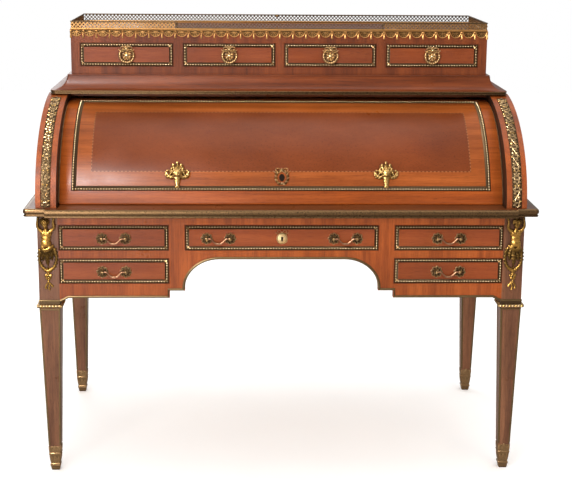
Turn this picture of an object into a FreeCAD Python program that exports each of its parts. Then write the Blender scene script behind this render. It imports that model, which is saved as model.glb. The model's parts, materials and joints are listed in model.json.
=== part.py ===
import FreeCAD, Part
import math
import os
import re

# A cylinder-fall (roll top) desk in the Louis XVI manner: four tapered legs, five drawers round
# a kneehole, a pull-out writing slide, a rigid quarter-round lid that runs in grooves cut in two
# cheeks, and a small upper case with four drawers and a pierced gallery.
# Millimetres.  +Z is up, the front faces -Y, the origin is on the floor under the middle.

doc = FreeCAD.newDocument("roll_top_desk")
V = FreeCAD.Vector
X_AXIS = V(1, 0, 0)
Y_AXIS = V(0, 1, 0)

DIMENSIONS = [
    # carcass
    ("front_face", -364, "front plane of the posts"),
    ("carcass_depth", 748, "posts, front to back"),
    ("carcass_half", 678, "half the width over the posts"),
    ("post_width", 57, "square post, and the thickness of a cheek"),
    ("foot_width", 33, "leg just above its sabot"),
    ("sabot_height", 78, ""),
    ("collar_low", 491, "bottom of the brass collar under a post"),
    ("collar_high", 508, ""),
    ("rail_thick", 22, "front rails and stiles"),
    ("board", 12, "dust boards and backs"),
    ("side_thick", 19, "side boards of the carcass"),
    ("side_inset", 3, "side boards behind the posts' outer faces"),
    ("back_inset", 8, "back panel in front of the posts' back faces"),
    ("guide_thick", 14, "drawer guides, and the bed under the slide"),
    ("apron_low", 519, "bottom edge of the rail under a bank of drawers"),
    ("knee_low", 540, "bottom of the kneehole spandrels"),
    ("knee_top", 630, "top of the kneehole arch"),
    ("knee_spring", 547, "height where the arch's curve begins"),
    ("knee_flat_half", 175, "half the flat top of the arch"),
    ("bank_inner", 314, "inner side of a drawer bank's opening"),
    ("stile_inner", 271, "half the centre drawer's opening"),
    # drawers of the carcass
    ("low_bottom", 560, "bottom of the lower openings"),
    ("low_top", 634, ""),
    ("high_bottom", 655, "bottom of the upper openings"),
    ("high_top", 729, ""),
    ("drawer_gap", 1, "gap round a drawer front"),
    ("drawer_depth", 560, ""),
    ("front_thick", 20, "drawer front"),
    ("drawer_side", 10, "drawer sides and back"),
    ("drawer_floor", 6, ""),
    # top and writing slide
    ("top_height", 780, "writing height"),
    ("top_thick", 22, ""),
    ("top_half", 712, "half the width of the top"),
    ("overhang", 34, "top beyond the posts"),
    ("edge_thick", 12, "brass binding of the top"),
    ("slide_proud", 20, "slide front beyond the top's corners"),
    ("slide_half", 617, "half the slide between the cheeks"),
    ("slide_front_half", 649, "half the slide's front rail"),
    ("slide_back", 640, "back of the slide, from the front plane"),
    ("slide_thick", 20, ""),
    ("leather_half", 560, ""),
    ("leather_front", 66, "from the front plane"),
    ("leather_back", 392, ""),
    ("leather_thick", 1.5, ""),
    # cylinder
    ("axis_back", 350, "cylinder axis behind the front plane"),
    ("axis_height", 700, ""),
    ("shell_outer", 335, "outer radius of the lid"),
    ("shell_inner", 317, ""),
    ("shell_half", 618.5, "half the length of the lid"),
    ("shell_low", 13, "angle above the horizontal where the first stave starts"),
    ("lid_foot", 780.4, "level bottom edge of the closed lid"),
    ("stave_count", 12, "staves that the lid is coopered from"),
    ("shell_high", 98, "angle of the lid's back edge"),
    ("runner_inner", 322, "end runners of the lid"),
    ("runner_outer", 330, ""),
    ("runner_reach", 9.5, "runner beyond the end of the lid"),
    ("groove_inner", 320.5, ""),
    ("groove_outer", 331.5, ""),
    ("groove_depth", 12, ""),
    ("groove_high", 146, "angle where the groove ends"),
    ("bead_half", 586, "half the lid's bead frame"),
    ("bead_low", 20.6, "angle of the frame's bottom edge"),
    ("bead_high", 84, ""),
    ("bead_width", 14, ""),
    ("bead_proud", 3.5, ""),
    ("pull_spread", 292, "each pull from the middle"),
    ("pull_angle", 28.7, ""),
    # cheeks
    ("cheek_front", -20, "foot of the cheek's curve, from the front plane"),
    ("cheek_run", 420, "horizontal half axis of the curve"),
    ("cheek_rise", 280, "vertical half axis"),
    ("cheek_back", 720, ""),
    ("cornice_low", 1056, "underside of the cornice"),
    ("mount_inner", 636, "vine mount on a cheek"),
    ("mount_outer", 664, ""),
    ("mount_proud", 4, ""),
    # cornice
    ("lip_half", 672, ""),
    ("lip_front", 294, "from the front plane"),
    ("lip_back", 735, ""),
    ("lip_low", 1062, ""),
    ("lip_high", 1072, ""),
    ("cove_top", 1107, ""),
    ("cove_half", 623, ""),
    ("cove_front", 318, ""),
    ("cove_back", 690, ""),
    ("dust_front", 372, "rail that closes the gap above the lid"),
    # upper case
    ("case_low", 1111, ""),
    ("case_high", 1241, ""),
    ("case_half", 611, ""),
    ("case_front", 328, "from the front plane"),
    ("case_depth", 345, ""),
    ("small_low", 1133, "bottom of the small drawers' openings"),
    ("small_high", 1203, ""),
    ("small_half", 586, "outer side of the outer opening"),
    ("small_outer", 312, "inner side of the outer opening"),
    ("small_inner", 285, "outer side of the inner opening"),
    ("small_mid", 12, "half the middle stile"),
    ("small_depth", 290, ""),
    ("gallery_high", 1265.5, ""),
    ("gallery_gap", 308, "half the low middle stretch of the gallery"),
    ("gallery_low_rail", 1246, ""),
    ("frieze_low", 1216, ""),
    ("frieze_proud", 3, ""),
    # interior fitment
    ("fitment_front", 400, "from the front plane"),
    ("fitment_back", 560, ""),
    ("fitment_low", 783, ""),
    ("fitment_high", 925, ""),
    ("fitment_shelf", 839, "underside of the shelf over the small drawers"),
    ("fitment_board", 8, ""),
    ("fitment_third", 203, "partitions between the three drawers"),
    # handles
    ("bail_half", 32.5, "half the distance between rosettes"),
    ("rosette_radius", 15, ""),
    ("rosette_thick", 4, ""),
    ("bail_stand", 9, "bail axis in front of the drawer"),
    ("pin_radius", 2, ""),
    ("eye_radius", 2.05, ""),
    ("ring_radius", 20.5, "centre line of a ring pull"),
    ("ring_wire", 2.8, ""),
    ("ring_drop", 26, "ring centre below its hinge"),
    ("ring_stand", 8, "ring axis in front of the drawer"),
    ("ring_ear", 8.5, "inner face of the ears that hold the ring's pin"),
]


def make_sheet():
    """Write the driving dimensions into a spreadsheet, one alias to a row."""
    page = doc.addObject("Spreadsheet::Sheet", "Dims")
    for row, (alias, value, meaning) in enumerate(DIMENSIONS, start=1):
        page.set(f"A{row}", alias)
        page.set(f"B{row}", str(value))
        page.set(f"C{row}", meaning)
        page.setAlias(f"B{row}", alias)
    doc.recompute()
    return page


sheet = make_sheet()
NAMES = {alias for alias, _, _ in DIMENSIONS}
NODES = {}


def size(alias):
    """A dimension read back from the sheet."""
    return float(sheet.get(alias))


def formula(text):
    """Turn the aliases in a formula into references to the sheet."""
    text = str(text)
    return re.sub(r"[a-z_]+", lambda m: "Dims." + m.group(0) if m.group(0) in NAMES else m.group(0), text)


def box(x0, x1, y0, y1, z0, z1):
    """A block between six planes; y is measured back from the front plane."""
    block = doc.addObject("Part::Box", "block")
    for side, low, high in (("Length", x0, x1), ("Width", y0, y1), ("Height", z0, z1)):
        block.setExpression(side, formula(f"({high}) - ({low})"))
    block.setExpression(".Placement.Base.x", formula(x0))
    block.setExpression(".Placement.Base.y", formula(f"front_face + ({y0})"))
    block.setExpression(".Placement.Base.z", formula(z0))
    return block


def box_pair(x0, x1, y0, y1, z0, z1):
    """The same block on the right and, mirrored, on the left."""
    return [
        box(x0, x1, y0, y1, z0, z1),
        box(f"-({x1})", f"-({x0})", y0, y1, z0, z1),
    ]


def feature(shape, name="piece"):
    """A document object that holds a shape made with Part's functions."""
    item = doc.addObject("Part::Feature", name)
    item.Shape = shape
    return item


def node(name, pieces):
    """Name one sub-part; several pieces become a compound of separate solids."""
    if len(pieces) == 1:
        item = pieces[0]
    else:
        item = doc.addObject("Part::Compound", name)
        item.Links = pieces
    item.Label = name
    NODES[name] = item
    return item


def cut(base, tools):
    """Take one or more tools out of a base piece."""
    tool = tools[0]
    if len(tools) > 1:
        tool = doc.addObject("Part::MultiFuse", "tools")
        tool.Shapes = tools
    item = doc.addObject("Part::Cut", "cut")
    item.Base = base
    item.Tool = tool
    return item


def back(distance):
    """Row y of a distance measured back from the front plane."""
    return size("front_face") + distance


def mirrored(shape):
    return shape.mirror(V(0, 0, 0), X_AXIS)


def shell_point(radius, angle, x=0.0):
    """A point on a cylinder about the lid's axis; the angle rises from the front."""
    turn = math.radians(angle)
    return V(
        x,
        back(size("axis_back")) - radius * math.cos(turn),
        size("axis_height") + radius * math.sin(turn),
    )


def sector(r_in, r_out, low, high, x0, x1):
    """A curved slab about the lid's axis."""
    middle = (low + high) / 2
    outer = Part.Arc(*(shell_point(r_out, angle, x0) for angle in (low, middle, high)))
    inner = Part.Arc(*(shell_point(r_in, angle, x0) for angle in (high, middle, low)))
    wire = Part.Wire([
        outer.toShape(),
        Part.makeLine(shell_point(r_out, high, x0), shell_point(r_in, high, x0)),
        inner.toShape(),
        Part.makeLine(shell_point(r_in, low, x0), shell_point(r_out, low, x0)),
    ])
    return Part.Face(wire).extrude(V(x1 - x0, 0, 0))


def rod(start, end, radius):
    """A round bar between two points."""
    return Part.makeCylinder(radius, start.distanceToPoint(end), start, end - start)


def square_at(x, y, z, side):
    """A level square wire centred on a point."""
    h = side / 2
    corners = [V(x - h, y - h, z), V(x + h, y - h, z), V(x + h, y + h, z), V(x - h, y + h, z)]
    return Part.makePolygon(corners + corners[:1])


def taper(x, y, levels):
    """A square solid through (height, width) levels."""
    return Part.makeLoft([square_at(x, y, z, side) for z, side in levels], True, True)


# ---------------------------------------------------------------- legs, sabots and collars

def leg_centres():
    """Name and plan position of each post."""
    reach = size("carcass_half") - size("post_width") / 2
    near = back(size("post_width") / 2)
    far = back(size("carcass_depth") - size("post_width") / 2)
    return [
        ("leg_front_left", -reach, near),
        ("leg_front_right", reach, near),
        ("leg_back_left", -reach, far),
        ("leg_back_right", reach, far),
    ]


def make_legs():
    """Tapered legs that carry on up as square posts, with their brass sabots and collars."""
    post = size("post_width")
    foot = size("foot_width")
    sabot = size("sabot_height")
    collar_low = size("collar_low")
    spigot = 30.0
    spigot_width = 16.0
    top = size("top_height") - size("top_thick")
    sabots = []
    collars = []
    for name, x, y in leg_centres():
        stump = taper(x, y, [(spigot, spigot_width), (sabot - 8, foot - 8)])
        shaft = taper(x, y, [(sabot - 8, foot - 8), (sabot - 7.9, foot), (collar_low, post)])
        column = taper(x, y, [(collar_low, post), (top, post)])
        leg = stump.fuse(shaft).fuse(column)
        node(name, [feature(leg)])
        levels = [
            [(0, 21), (14, 29), (20, 29)],
            [(20, 26), (48, foot + 2), (52, foot + 2)],
            [(52, foot), (sabot, foot + 5)],
        ]
        cup = taper(x, y, levels[0])
        for tier in levels[1:]:
            cup = cup.fuse(taper(x, y, tier))
        sabots.append(feature(cup.cut(leg)))
        band = taper(x, y, [(collar_low, post + 4), (collar_low + 7, post + 14),
                            (size("collar_high"), post + 4)])
        collars.append(feature(band.cut(leg)))
    node("leg_sabots", sabots)
    node("leg_collars", collars)


# ---------------------------------------------------------------- carcass

def make_sides_and_backs():
    low = "apron_low"
    high = "top_height - top_thick"
    boards = box_pair(
        "carcass_half - side_inset - side_thick", "carcass_half - side_inset",
        "post_width", "carcass_depth - post_width", low, high)
    inner_post = "carcass_half - post_width"
    lower_back = "carcass_depth - back_inset"
    upper_back = "cheek_back - 6"
    boards.append(box(f"-({inner_post})", inner_post, f"{lower_back} - board", lower_back, low, high))
    boards.append(box(f"-({inner_post})", inner_post, f"{upper_back} - board", upper_back,
                      "top_height", "cornice_low"))
    node("carcass_panels", boards)


def make_front():
    """Rails and stiles between the posts, and the curved pieces under them, one board thick."""
    thick = size("rail_thick")
    inner_post = "carcass_half - post_width"
    pieces = [box(f"-({inner_post})", inner_post, 0, "rail_thick", "high_top", "top_height - top_thick")]
    pieces += box_pair("stile_inner", "bank_inner", 0, "rail_thick", "knee_low", "high_top")
    pieces += box_pair("bank_inner", inner_post, 0, "rail_thick", "low_top", "high_bottom")
    pieces += box_pair("bank_inner", inner_post, 0, "rail_thick", "apron_low", "low_bottom")
    pieces.append(box("-knee_flat_half", "knee_flat_half", 0, "rail_thick", "knee_top", "high_bottom"))
    node("front_apron", pieces)
    curved = [arch_piece(thick), bracket_piece(thick)]
    node("knee_spandrels", [feature(shape) for piece in curved for shape in (piece, mirrored(piece))])


def arch_piece(thick):
    """Spandrel between the stile and the flat top of the arch, bounded by a quarter ellipse."""
    side = size("stile_inner")
    flat = size("knee_flat_half")
    y = back(0)
    spring = V(side, y, size("knee_spring"))
    tip = V(flat, y, size("knee_top"))
    corner = V(side, y, size("high_bottom"))
    oval = Part.Ellipse(spring, tip, V(flat, y, spring.z))
    wire = Part.Wire([
        Part.ArcOfEllipse(oval, 0, math.pi / 2).toShape(),
        Part.makeLine(tip, V(flat, y, corner.z)),
        Part.makeLine(V(flat, y, corner.z), corner),
        Part.makeLine(corner, spring),
    ])
    return Part.Face(wire).extrude(V(0, thick, 0))


def bracket_piece(thick):
    """Small curved bracket where the rail under a bank meets its post."""
    y = back(0)
    post = size("carcass_half") - size("post_width")
    low = size("collar_high")
    high = size("apron_low")
    reach = 22.0
    wire = Part.Wire([
        Part.makeLine(V(post, y, low), V(post, y, high)),
        Part.makeLine(V(post, y, high), V(post - reach, y, high)),
        Part.Arc(V(post - reach, y, high), V(post - 10, y, high - 3), V(post, y, low)).toShape(),
    ])
    return Part.Face(wire).extrude(V(0, thick, 0))


def make_partitions():
    """Partitions beside the kneehole, dust boards, drawer guides, and the bed under the slide."""
    behind = "rail_thick"
    until = "carcass_depth - back_inset - board"
    wall = "carcass_half - side_inset - side_thick"
    bed_low = "top_height - top_thick - guide_thick"
    guide_front = "post_width"
    guide_back = "carcass_depth - post_width"
    pieces = box_pair("bank_inner - rail_thick", "bank_inner", behind, until, "low_bottom - board", bed_low)
    pieces += box_pair("bank_inner", wall, guide_front, guide_back, "low_bottom - board", "low_bottom")
    pieces += box_pair("bank_inner", wall, guide_front, guide_back, "high_bottom - board", "high_bottom")
    pieces.append(box("rail_thick - bank_inner", "bank_inner - rail_thick", behind, until,
                      "high_bottom - board", "high_bottom"))
    inner_post = "carcass_half - post_width"
    for floor in ("low_bottom", "high_bottom"):
        pieces += box_pair(inner_post, wall, guide_front, guide_back, floor, f"{floor} + guide_thick")
    pieces += box_pair("stile_inner", "bank_inner - rail_thick", behind, until,
                       "high_bottom", "high_bottom + guide_thick")
    bed_high = "top_height - top_thick"
    pieces.append(box(f"-({wall})", wall, guide_front, guide_back, bed_low, bed_high))
    node("drawer_partitions", pieces)


def make_top():
    """The fixed margins of the top round the writing slide, and their brass binding."""
    under = "top_height - top_thick"
    inner = "carcass_half - post_width"
    wood = "top_half - edge_thick"
    margin_front = "edge_thick - overhang"
    margin_back = "carcass_depth + overhang - edge_thick"
    pieces = box_pair(inner, wood, margin_front, margin_back, under, "top_height")
    pieces.append(box(f"-({inner})", inner, "slide_back + 60", margin_back, under, "top_height"))
    node("top_margins", pieces)
    brass = box_pair(wood, "top_half", "-overhang", "carcass_depth + overhang", under, "top_height")
    brass += box_pair("slide_front_half + 1", wood, "-overhang", margin_front, under, "top_height")
    brass.append(box(f"-({wood})", wood, margin_back, "carcass_depth + overhang", under, "top_height"))
    brass += cornice_lip()
    node("brass_edging", brass)


def cornice_lip():
    """Brass nosing on the front and the ends of the cornice."""
    inner = "lip_half - 6"
    return [
        box("-lip_half", "lip_half", "lip_front", "lip_front + 6", "lip_low", "lip_high"),
        *box_pair(inner, "lip_half", "lip_front + 6", "lip_back", "lip_low", "lip_high"),
    ]


# ---------------------------------------------------------------- writing slide

def make_slide():
    """The slide's board with its front rail, its leather and its brass-bound front edge."""
    under = "top_height - top_thick"
    rail_back = "10 - overhang"
    rail_front = "edge_thick - overhang - slide_proud"
    board = box("-slide_half", "slide_half", rail_back, "slide_back",
                "top_height - slide_thick", "top_height")
    rail = box("-slide_front_half", "slide_front_half", rail_front, rail_back, under, "top_height")
    whole = doc.addObject("Part::Fuse", "slide_board")
    whole.Base = board
    whole.Tool = rail
    sunk = "top_height - leather_thick"
    recess = box("-leather_half", "leather_half", "leather_front", "leather_back", sunk, "top_height + 1")
    node("writing_slide", [cut(whole, [recess])])
    node("slide_leather", [box("-leather_half", "leather_half", "leather_front", "leather_back",
                               sunk, "top_height")])
    node("slide_edging", [box("-slide_front_half", "slide_front_half",
                              "-overhang - slide_proud", rail_front, under, "top_height")])


# ---------------------------------------------------------------- cheeks

def cheek_curve(grow=0.0, top=None):
    """The quarter ellipse of a cheek's front, from its foot up to a height."""
    run = size("cheek_run") + grow
    rise = size("cheek_rise") + grow
    centre = V(0, back(size("cheek_front") + size("cheek_run")), size("top_height"))
    oval = Part.Ellipse(centre + V(0, -run, 0), centre + V(0, 0, rise), centre)
    high = size("cornice_low") if top is None else top
    end = math.asin((high - centre.z) / rise)
    return Part.ArcOfEllipse(oval, 0, end)


def extrude_between(edges, x0, x1):
    """Close a chain of edges in the Y-Z plane and extrude it from x0 to x1."""
    face = Part.Face(Part.Wire(edges))
    face.translate(V(x0, 0, 0))
    return face.extrude(V(x1 - x0, 0, 0))


def make_cheeks():
    """Curved cheeks with the lid's groove in their inner faces, and the brass vines on their fronts."""
    inner = size("carcass_half") - size("post_width")
    outer = size("carcass_half")
    curve = cheek_curve().toShape()
    foot = curve.Vertexes[0].Point
    crest = curve.Vertexes[1].Point
    far = back(size("cheek_back"))
    edges = [
        curve,
        Part.makeLine(crest, V(0, far, crest.z)),
        Part.makeLine(V(0, far, crest.z), V(0, far, foot.z)),
        Part.makeLine(V(0, far, foot.z), foot),
    ]
    body = extrude_between(edges, inner, outer)
    groove = sector(size("groove_inner"), size("groove_outer"), 5, size("groove_high"),
                    inner - 1, inner + size("groove_depth"))
    right = body.cut(groove)
    node("cheek_right", [feature(right)])
    node("cheek_left", [feature(mirrored(right))])
    proud = size("mount_proud")
    high = size("cornice_low") - 8
    skin = cheek_curve(proud, high).toShape()
    bed = cheek_curve(0.0, high - 2).toShape()
    low_skin, high_skin = (v.Point for v in skin.Vertexes)
    low_bed, high_bed = (v.Point for v in bed.Vertexes)
    vine = extrude_between(
        [skin, Part.makeLine(high_skin, high_bed), bed, Part.makeLine(low_bed, low_skin)],
        size("mount_inner"), size("mount_outer"))
    node("cheek_mounts", [feature(vine), feature(mirrored(vine))])


# ---------------------------------------------------------------- cylinder lid

def make_lid():
    """The rigid quarter-round lid with its tongues, bead frame, pulls and lock."""
    outer = size("shell_outer")
    inner = size("shell_inner")
    half = size("shell_half")
    low = size("shell_low")
    tip = half + size("runner_reach")
    count = int(size("stave_count"))
    step = (size("shell_high") - low) / count
    below_foot = Part.makeBox(2 * half + 2, 80, 40, V(-half - 1, back(0), size("lid_foot") - 40))
    staves = []
    tongues = []
    for number in range(count):
        start = low + number * step
        staves.append(feature(sector(inner, outer, start, start + step, -half, half).cut(below_foot)))
        clear = start + 2 if number == 0 else start
        tongue = sector(size("runner_inner"), size("runner_outer"), clear, start + step, half, tip)
        tongues += [feature(tongue), feature(mirrored(tongue))]
    node("cylinder_lid", staves)
    node("cylinder_runners", tongues)

    proud = outer + size("bead_proud")
    wide = size("bead_width")
    bead_low = size("bead_low")
    bead_high = size("bead_high")
    strip = math.degrees(wide / outer)
    frame_half = size("bead_half")
    upright = sector(outer, proud, bead_low, bead_high, frame_half - wide, frame_half)
    inside = frame_half - wide
    node("cylinder_moulding", [
        feature(upright),
        feature(mirrored(upright)),
        feature(sector(outer, proud, bead_low, bead_low + strip, -inside, inside)),
        feature(sector(outer, proud, bead_high - strip, bead_high, -inside, inside)),
    ])

    angle = size("pull_angle")
    plate_reach = 5.6
    pulls = []
    for x in (-size("pull_spread"), size("pull_spread")):
        plate = sector(outer, outer + 4, angle - plate_reach, angle + plate_reach, x - 30, x + 30)
        stem = rod(shell_point(outer + 3, angle, x), shell_point(outer + 20, angle, x), 11)
        pulls.append(feature(plate.fuse(stem)))
    node("cylinder_pulls", pulls)

    escutcheon_angle = 27.5
    escutcheon = sector(outer, outer + 3, escutcheon_angle - 4.4, escutcheon_angle + 4.4, -22, 22)
    lock_case = sector(inner - 12, inner, low + 3, escutcheon_angle + 3, -32, 32)
    node("cylinder_lock", [feature(escutcheon), feature(lock_case)])


# ---------------------------------------------------------------- cornice and upper case

def level_frame(inset_x, front, rear, z):
    """A level rectangular wire; y is measured back from the front plane."""
    corners = [
        V(-inset_x, back(front), z), V(inset_x, back(front), z),
        V(inset_x, back(rear), z), V(-inset_x, back(rear), z),
    ]
    return Part.makePolygon(corners + corners[:1])


def make_cornice():
    """Soffit board, cove built up in layers, and the dust rail that closes the gap above the lid."""
    low = size("lip_high")
    rise = size("cove_top") - low
    steps = 6
    wires = []
    for step in range(steps + 1):
        turn = math.pi / 2 * step / steps
        part = math.sin(turn)
        wires.append(level_frame(
            size("lip_half") + (size("cove_half") - size("lip_half")) * part,
            size("lip_front") + (size("cove_front") - size("lip_front")) * part,
            size("lip_back") + (size("cove_back") - size("lip_back")) * part,
            low + rise * (1 - math.cos(turn)) * 0.999 + 0.035 * step,
        ))
    layers = [feature(Part.makeLoft(list(pair), True, True)) for pair in zip(wires, wires[1:])]
    soffit = box("6 - lip_half", "lip_half - 6", "lip_front + 6", "lip_back", "cornice_low", "lip_high")
    cap = box("-cove_half", "cove_half", "cove_front", "cove_back", "cove_top", "case_low")
    inner = "carcass_half - post_width"
    rail = box(f"-({inner})", inner, "dust_front", "dust_front + 20", "cornice_low - 15", "cornice_low")
    node("cornice", [soffit, *layers, cap, rail])


def make_upper_case():
    """The case of the small drawers, board by board, with its gallery and swag frieze."""
    front = "case_front"
    rear = "case_front + case_depth"
    lining = "rail_thick"
    back_board = f"{rear} - board"
    top_board = "case_high - board"
    plate = 3
    pieces = [
        box("-case_half", "case_half", front, rear, "case_low", "small_low"),
        box(f"{plate} - case_half", f"case_half - {plate}", f"{front} + {plate}", f"{rear} - {plate}",
            top_board, "case_high"),
        box("-small_half", "small_half", front, f"{front} + {lining}", "small_high", top_board),
        box("-small_mid", "small_mid", front, back_board, "small_low", "small_high"),
        box("-small_half", "small_half", back_board, rear, "small_low", top_board),
    ]
    pieces += box_pair("small_half", "case_half", front, rear, "small_low", top_board)
    pieces += box_pair("small_inner", "small_outer", front, back_board, "small_low", "small_high")
    node("upper_case", pieces)

    high = "gallery_high"
    grille = box_pair("gallery_gap", "case_half", front, f"{front} + {plate}", top_board, high)
    grille += box_pair(f"case_half - {plate}", "case_half", f"{front} + {plate}", rear, top_board, high)
    grille.append(box(f"{plate} - case_half", f"case_half - {plate}", f"{rear} - {plate}", rear,
                      top_board, high))
    grille.append(box("-gallery_gap", "gallery_gap", front, f"{front} + {plate}",
                      top_board, "gallery_low_rail"))
    node("gallery", grille)

    outer = "case_half + frieze_proud"
    frieze = [box(f"-({outer})", outer, f"{front} - frieze_proud", front, "frieze_low", "case_high")]
    frieze += box_pair("case_half", outer, front, rear, "frieze_low", "case_high")
    node("swag_frieze", frieze)


def make_fitment():
    """Pigeonholes over three small drawers, standing inside the sweep of the lid."""
    half = "carcass_half - post_width"
    front = "fitment_front"
    rear = "fitment_back"
    wood = "fitment_board"
    shelf_top = f"fitment_shelf + {wood}"
    floor_top = f"fitment_low + {wood}"
    roof_low = f"fitment_high - {wood}"
    pieces = [
        box(f"-({half})", half, front, rear, "fitment_low", floor_top),
        box(f"-({half})", half, front, rear, roof_low, "fitment_high"),
        box(f"{wood} - ({half})", f"{half} - {wood}", front, rear, "fitment_shelf", shelf_top),
        box(f"{wood} - ({half})", f"{half} - {wood}", f"{rear} - {wood}", rear, shelf_top, roof_low),
        box(f"{wood} - ({half})", f"{half} - {wood}", f"{rear} - {wood}", rear, floor_top, "fitment_shelf"),
    ]
    inside = f"{rear} - {wood}"
    pieces += box_pair(f"{half} - {wood}", half, front, rear, floor_top, roof_low)
    upright = f"{wood} / 2"
    for centre in ("fitment_third", "-fitment_third"):
        pieces.append(box(f"{centre} - {upright}", f"{centre} + {upright}", front, inside,
                          floor_top, "fitment_shelf"))
    for part in (-0.6, -0.2, 0.2, 0.6):
        centre = f"({half}) * {part}"
        pieces.append(box(f"{centre} - {upright}", f"{centre} + {upright}", front, inside,
                          shelf_top, roof_low))
    node("interior_fitment", pieces)


# ---------------------------------------------------------------- drawers

def drawer_pieces(x0, x1, z0, z1, face, depth, front, side, floor):
    """Front, two sides, back and bottom of an open-topped drawer box."""
    wall_top = f"({z1}) - 6"
    return [
        box(x0, x1, face, f"({face}) + ({front})", z0, z1),
        box(x0, f"({x0}) + ({side})", f"({face}) + ({front})", f"({face}) + ({depth})", z0, wall_top),
        box(f"({x1}) - ({side})", x1, f"({face}) + ({front})", f"({face}) + ({depth})", z0, wall_top),
        box(f"({x0}) + ({side})", f"({x1}) - ({side})", f"({face}) + ({depth}) - ({side})",
            f"({face}) + ({depth})", z0, wall_top),
        box(f"({x0}) + ({side})", f"({x1}) - ({side})", f"({face}) + ({front})",
            f"({face}) + ({depth}) - ({side})", z0, f"({z0}) + ({floor})"),
    ]


def bead_frame(x0, x1, z0, z1, face):
    """A flat brass frame laid on a drawer front, in four strips."""
    wide = 11
    inset = 1
    proud = 3
    left = f"({x0}) + {inset}"
    right = f"({x1}) - {inset}"
    low = f"({z0}) + {inset}"
    high = f"({z1}) - {inset}"
    near = f"({face}) - {proud}"
    return [
        box(left, right, near, face, low, f"{low} + {wide}"),
        box(left, right, near, face, f"{high} - {wide}", high),
        box(left, f"{left} + {wide}", near, face, f"{low} + {wide}", f"{high} - {wide}"),
        box(f"{right} - {wide}", right, near, face, f"{low} + {wide}", f"{high} - {wide}"),
    ]


def bail_posts(x, z):
    """Two rosettes, each with a post whose eye takes an end of the bail."""
    stand = size("bail_stand")
    shapes = []
    for side in (-1, 1):
        centre = x + side * size("bail_half")
        rim = back(-size("rosette_thick"))
        plate = rod(V(centre, back(0), z), V(centre, rim, z), size("rosette_radius"))
        post = rod(V(centre, back(-2), z), V(centre, back(-stand - 4.5), z), 4.5)
        eye = rod(V(centre - 10, back(-stand), z), V(centre + 10, back(-stand), z), size("eye_radius"))
        shapes.append(feature(plate.fuse(post).cut(eye)))
    return shapes


def bail_shape(x, z):
    """A drop handle: a pin at each end, and a bar that dips between the rosettes."""
    y = back(-size("bail_stand"))
    half = size("bail_half")
    wire_radius = 2.6
    dip = [(half - 7, 0), (half - 9.5, -5), (half - 14, -10.5), (half - 21, -14)]
    right = [V(reach, y, drop) for reach, drop in dip]
    left = [V(-reach, y, drop) for reach, drop in reversed(dip)]
    route = Part.BSplineCurve()
    route.interpolate(right + [V(0, y, -14.5)] + left)
    path = Part.Wire([route.toShape()])
    profile = Part.Wire([Part.makeCircle(wire_radius, right[0], right[1] - right[0])])
    bar = path.makePipeShell([profile], True, True)
    pins = [
        rod(V(side * (half + 4), y, 0), V(side * (half - 8), y, 0), size("pin_radius"))
        for side in (-1, 1)
    ]
    knuckles = [Part.makeSphere(wire_radius, V(side * (half - 7.4), y, 0)) for side in (-1, 1)]
    whole = bar.multiFuse(pins + knuckles)
    whole.translate(V(x, 0, z))
    return whole


def make_drawer(name, x0, x1, z0, z1, bails):
    """One drawer of the carcass with its brass and its drop handles."""
    gap = "drawer_gap"
    bounds = (f"{x0} + {gap}", f"{x1} - {gap}", f"{z0} + {gap}", f"{z1} - {gap}")
    node(name, drawer_pieces(*bounds, 0, "drawer_depth", "front_thick", "drawer_side", "drawer_floor"))
    brass = bead_frame(*bounds, 0)
    height = (size(z0) + size(z1)) / 2 - 2
    for bail_name, x in bails:
        brass += bail_posts(x, height)
        node(bail_name, [feature(bail_shape(x, height))])
    if len(bails) > 1:
        brass += drawer_lock(height)
    node(name + "_mounts", brass)


def drawer_lock(height):
    """Round escutcheon in front of the centre drawer."""
    plate = rod(V(0, back(0), height), V(0, back(-4), height), 15)
    keyhole = rod(V(0, back(1), height), V(0, back(-5), height), 2.5)
    return [feature(plate.cut(keyhole))]


def make_carcass_drawers():
    inner_post = "(carcass_half - post_width)"
    middle = (size("bank_inner") + size("carcass_half") - size("post_width")) / 2
    for side, sign in (("left", -1), ("right", 1)):
        x0, x1 = ("bank_inner", inner_post) if sign > 0 else (f"-{inner_post}", "-bank_inner")
        for level, z0, z1 in (("upper", "high_bottom", "high_top"), ("lower", "low_bottom", "low_top")):
            make_drawer(f"drawer_{level}_{side}", x0, x1, z0, z1, [(f"bail_{level}_{side}", sign * middle)])
    pair_offset = 177.0
    make_drawer("drawer_centre", "-stile_inner", "stile_inner", "high_bottom", "high_top",
                [("bail_centre_left", -pair_offset), ("bail_centre_right", pair_offset)])


def ring_bracket(x, z):
    """Back plate of a ring pull, with the two ears that hold its pin."""
    stand = size("ring_stand")
    face = size("case_front")
    axis = back(face - stand)
    ear = 3.8
    ear_wide = 3
    whole = rod(V(x, back(face), z - size("ring_drop")), V(x, back(face - 3), z - size("ring_drop")), 11)
    reach = size("ring_ear") + ear_wide
    whole = whole.fuse(Part.makeBox(2 * reach, 2, 22, V(x - reach, back(face - 2), z - 18)))
    for near in (x + size("ring_ear"), x - reach):
        tip = rod(V(near, axis, z), V(near + ear_wide, axis, z), ear)
        root = Part.makeBox(ear_wide, stand, 2 * ear, V(near, axis, z - ear))
        whole = whole.fuse(tip.fuse(root))
    eye = rod(V(x - reach - 1, axis, z), V(x + reach + 1, axis, z), size("eye_radius"))
    return whole.cut(eye)


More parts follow.
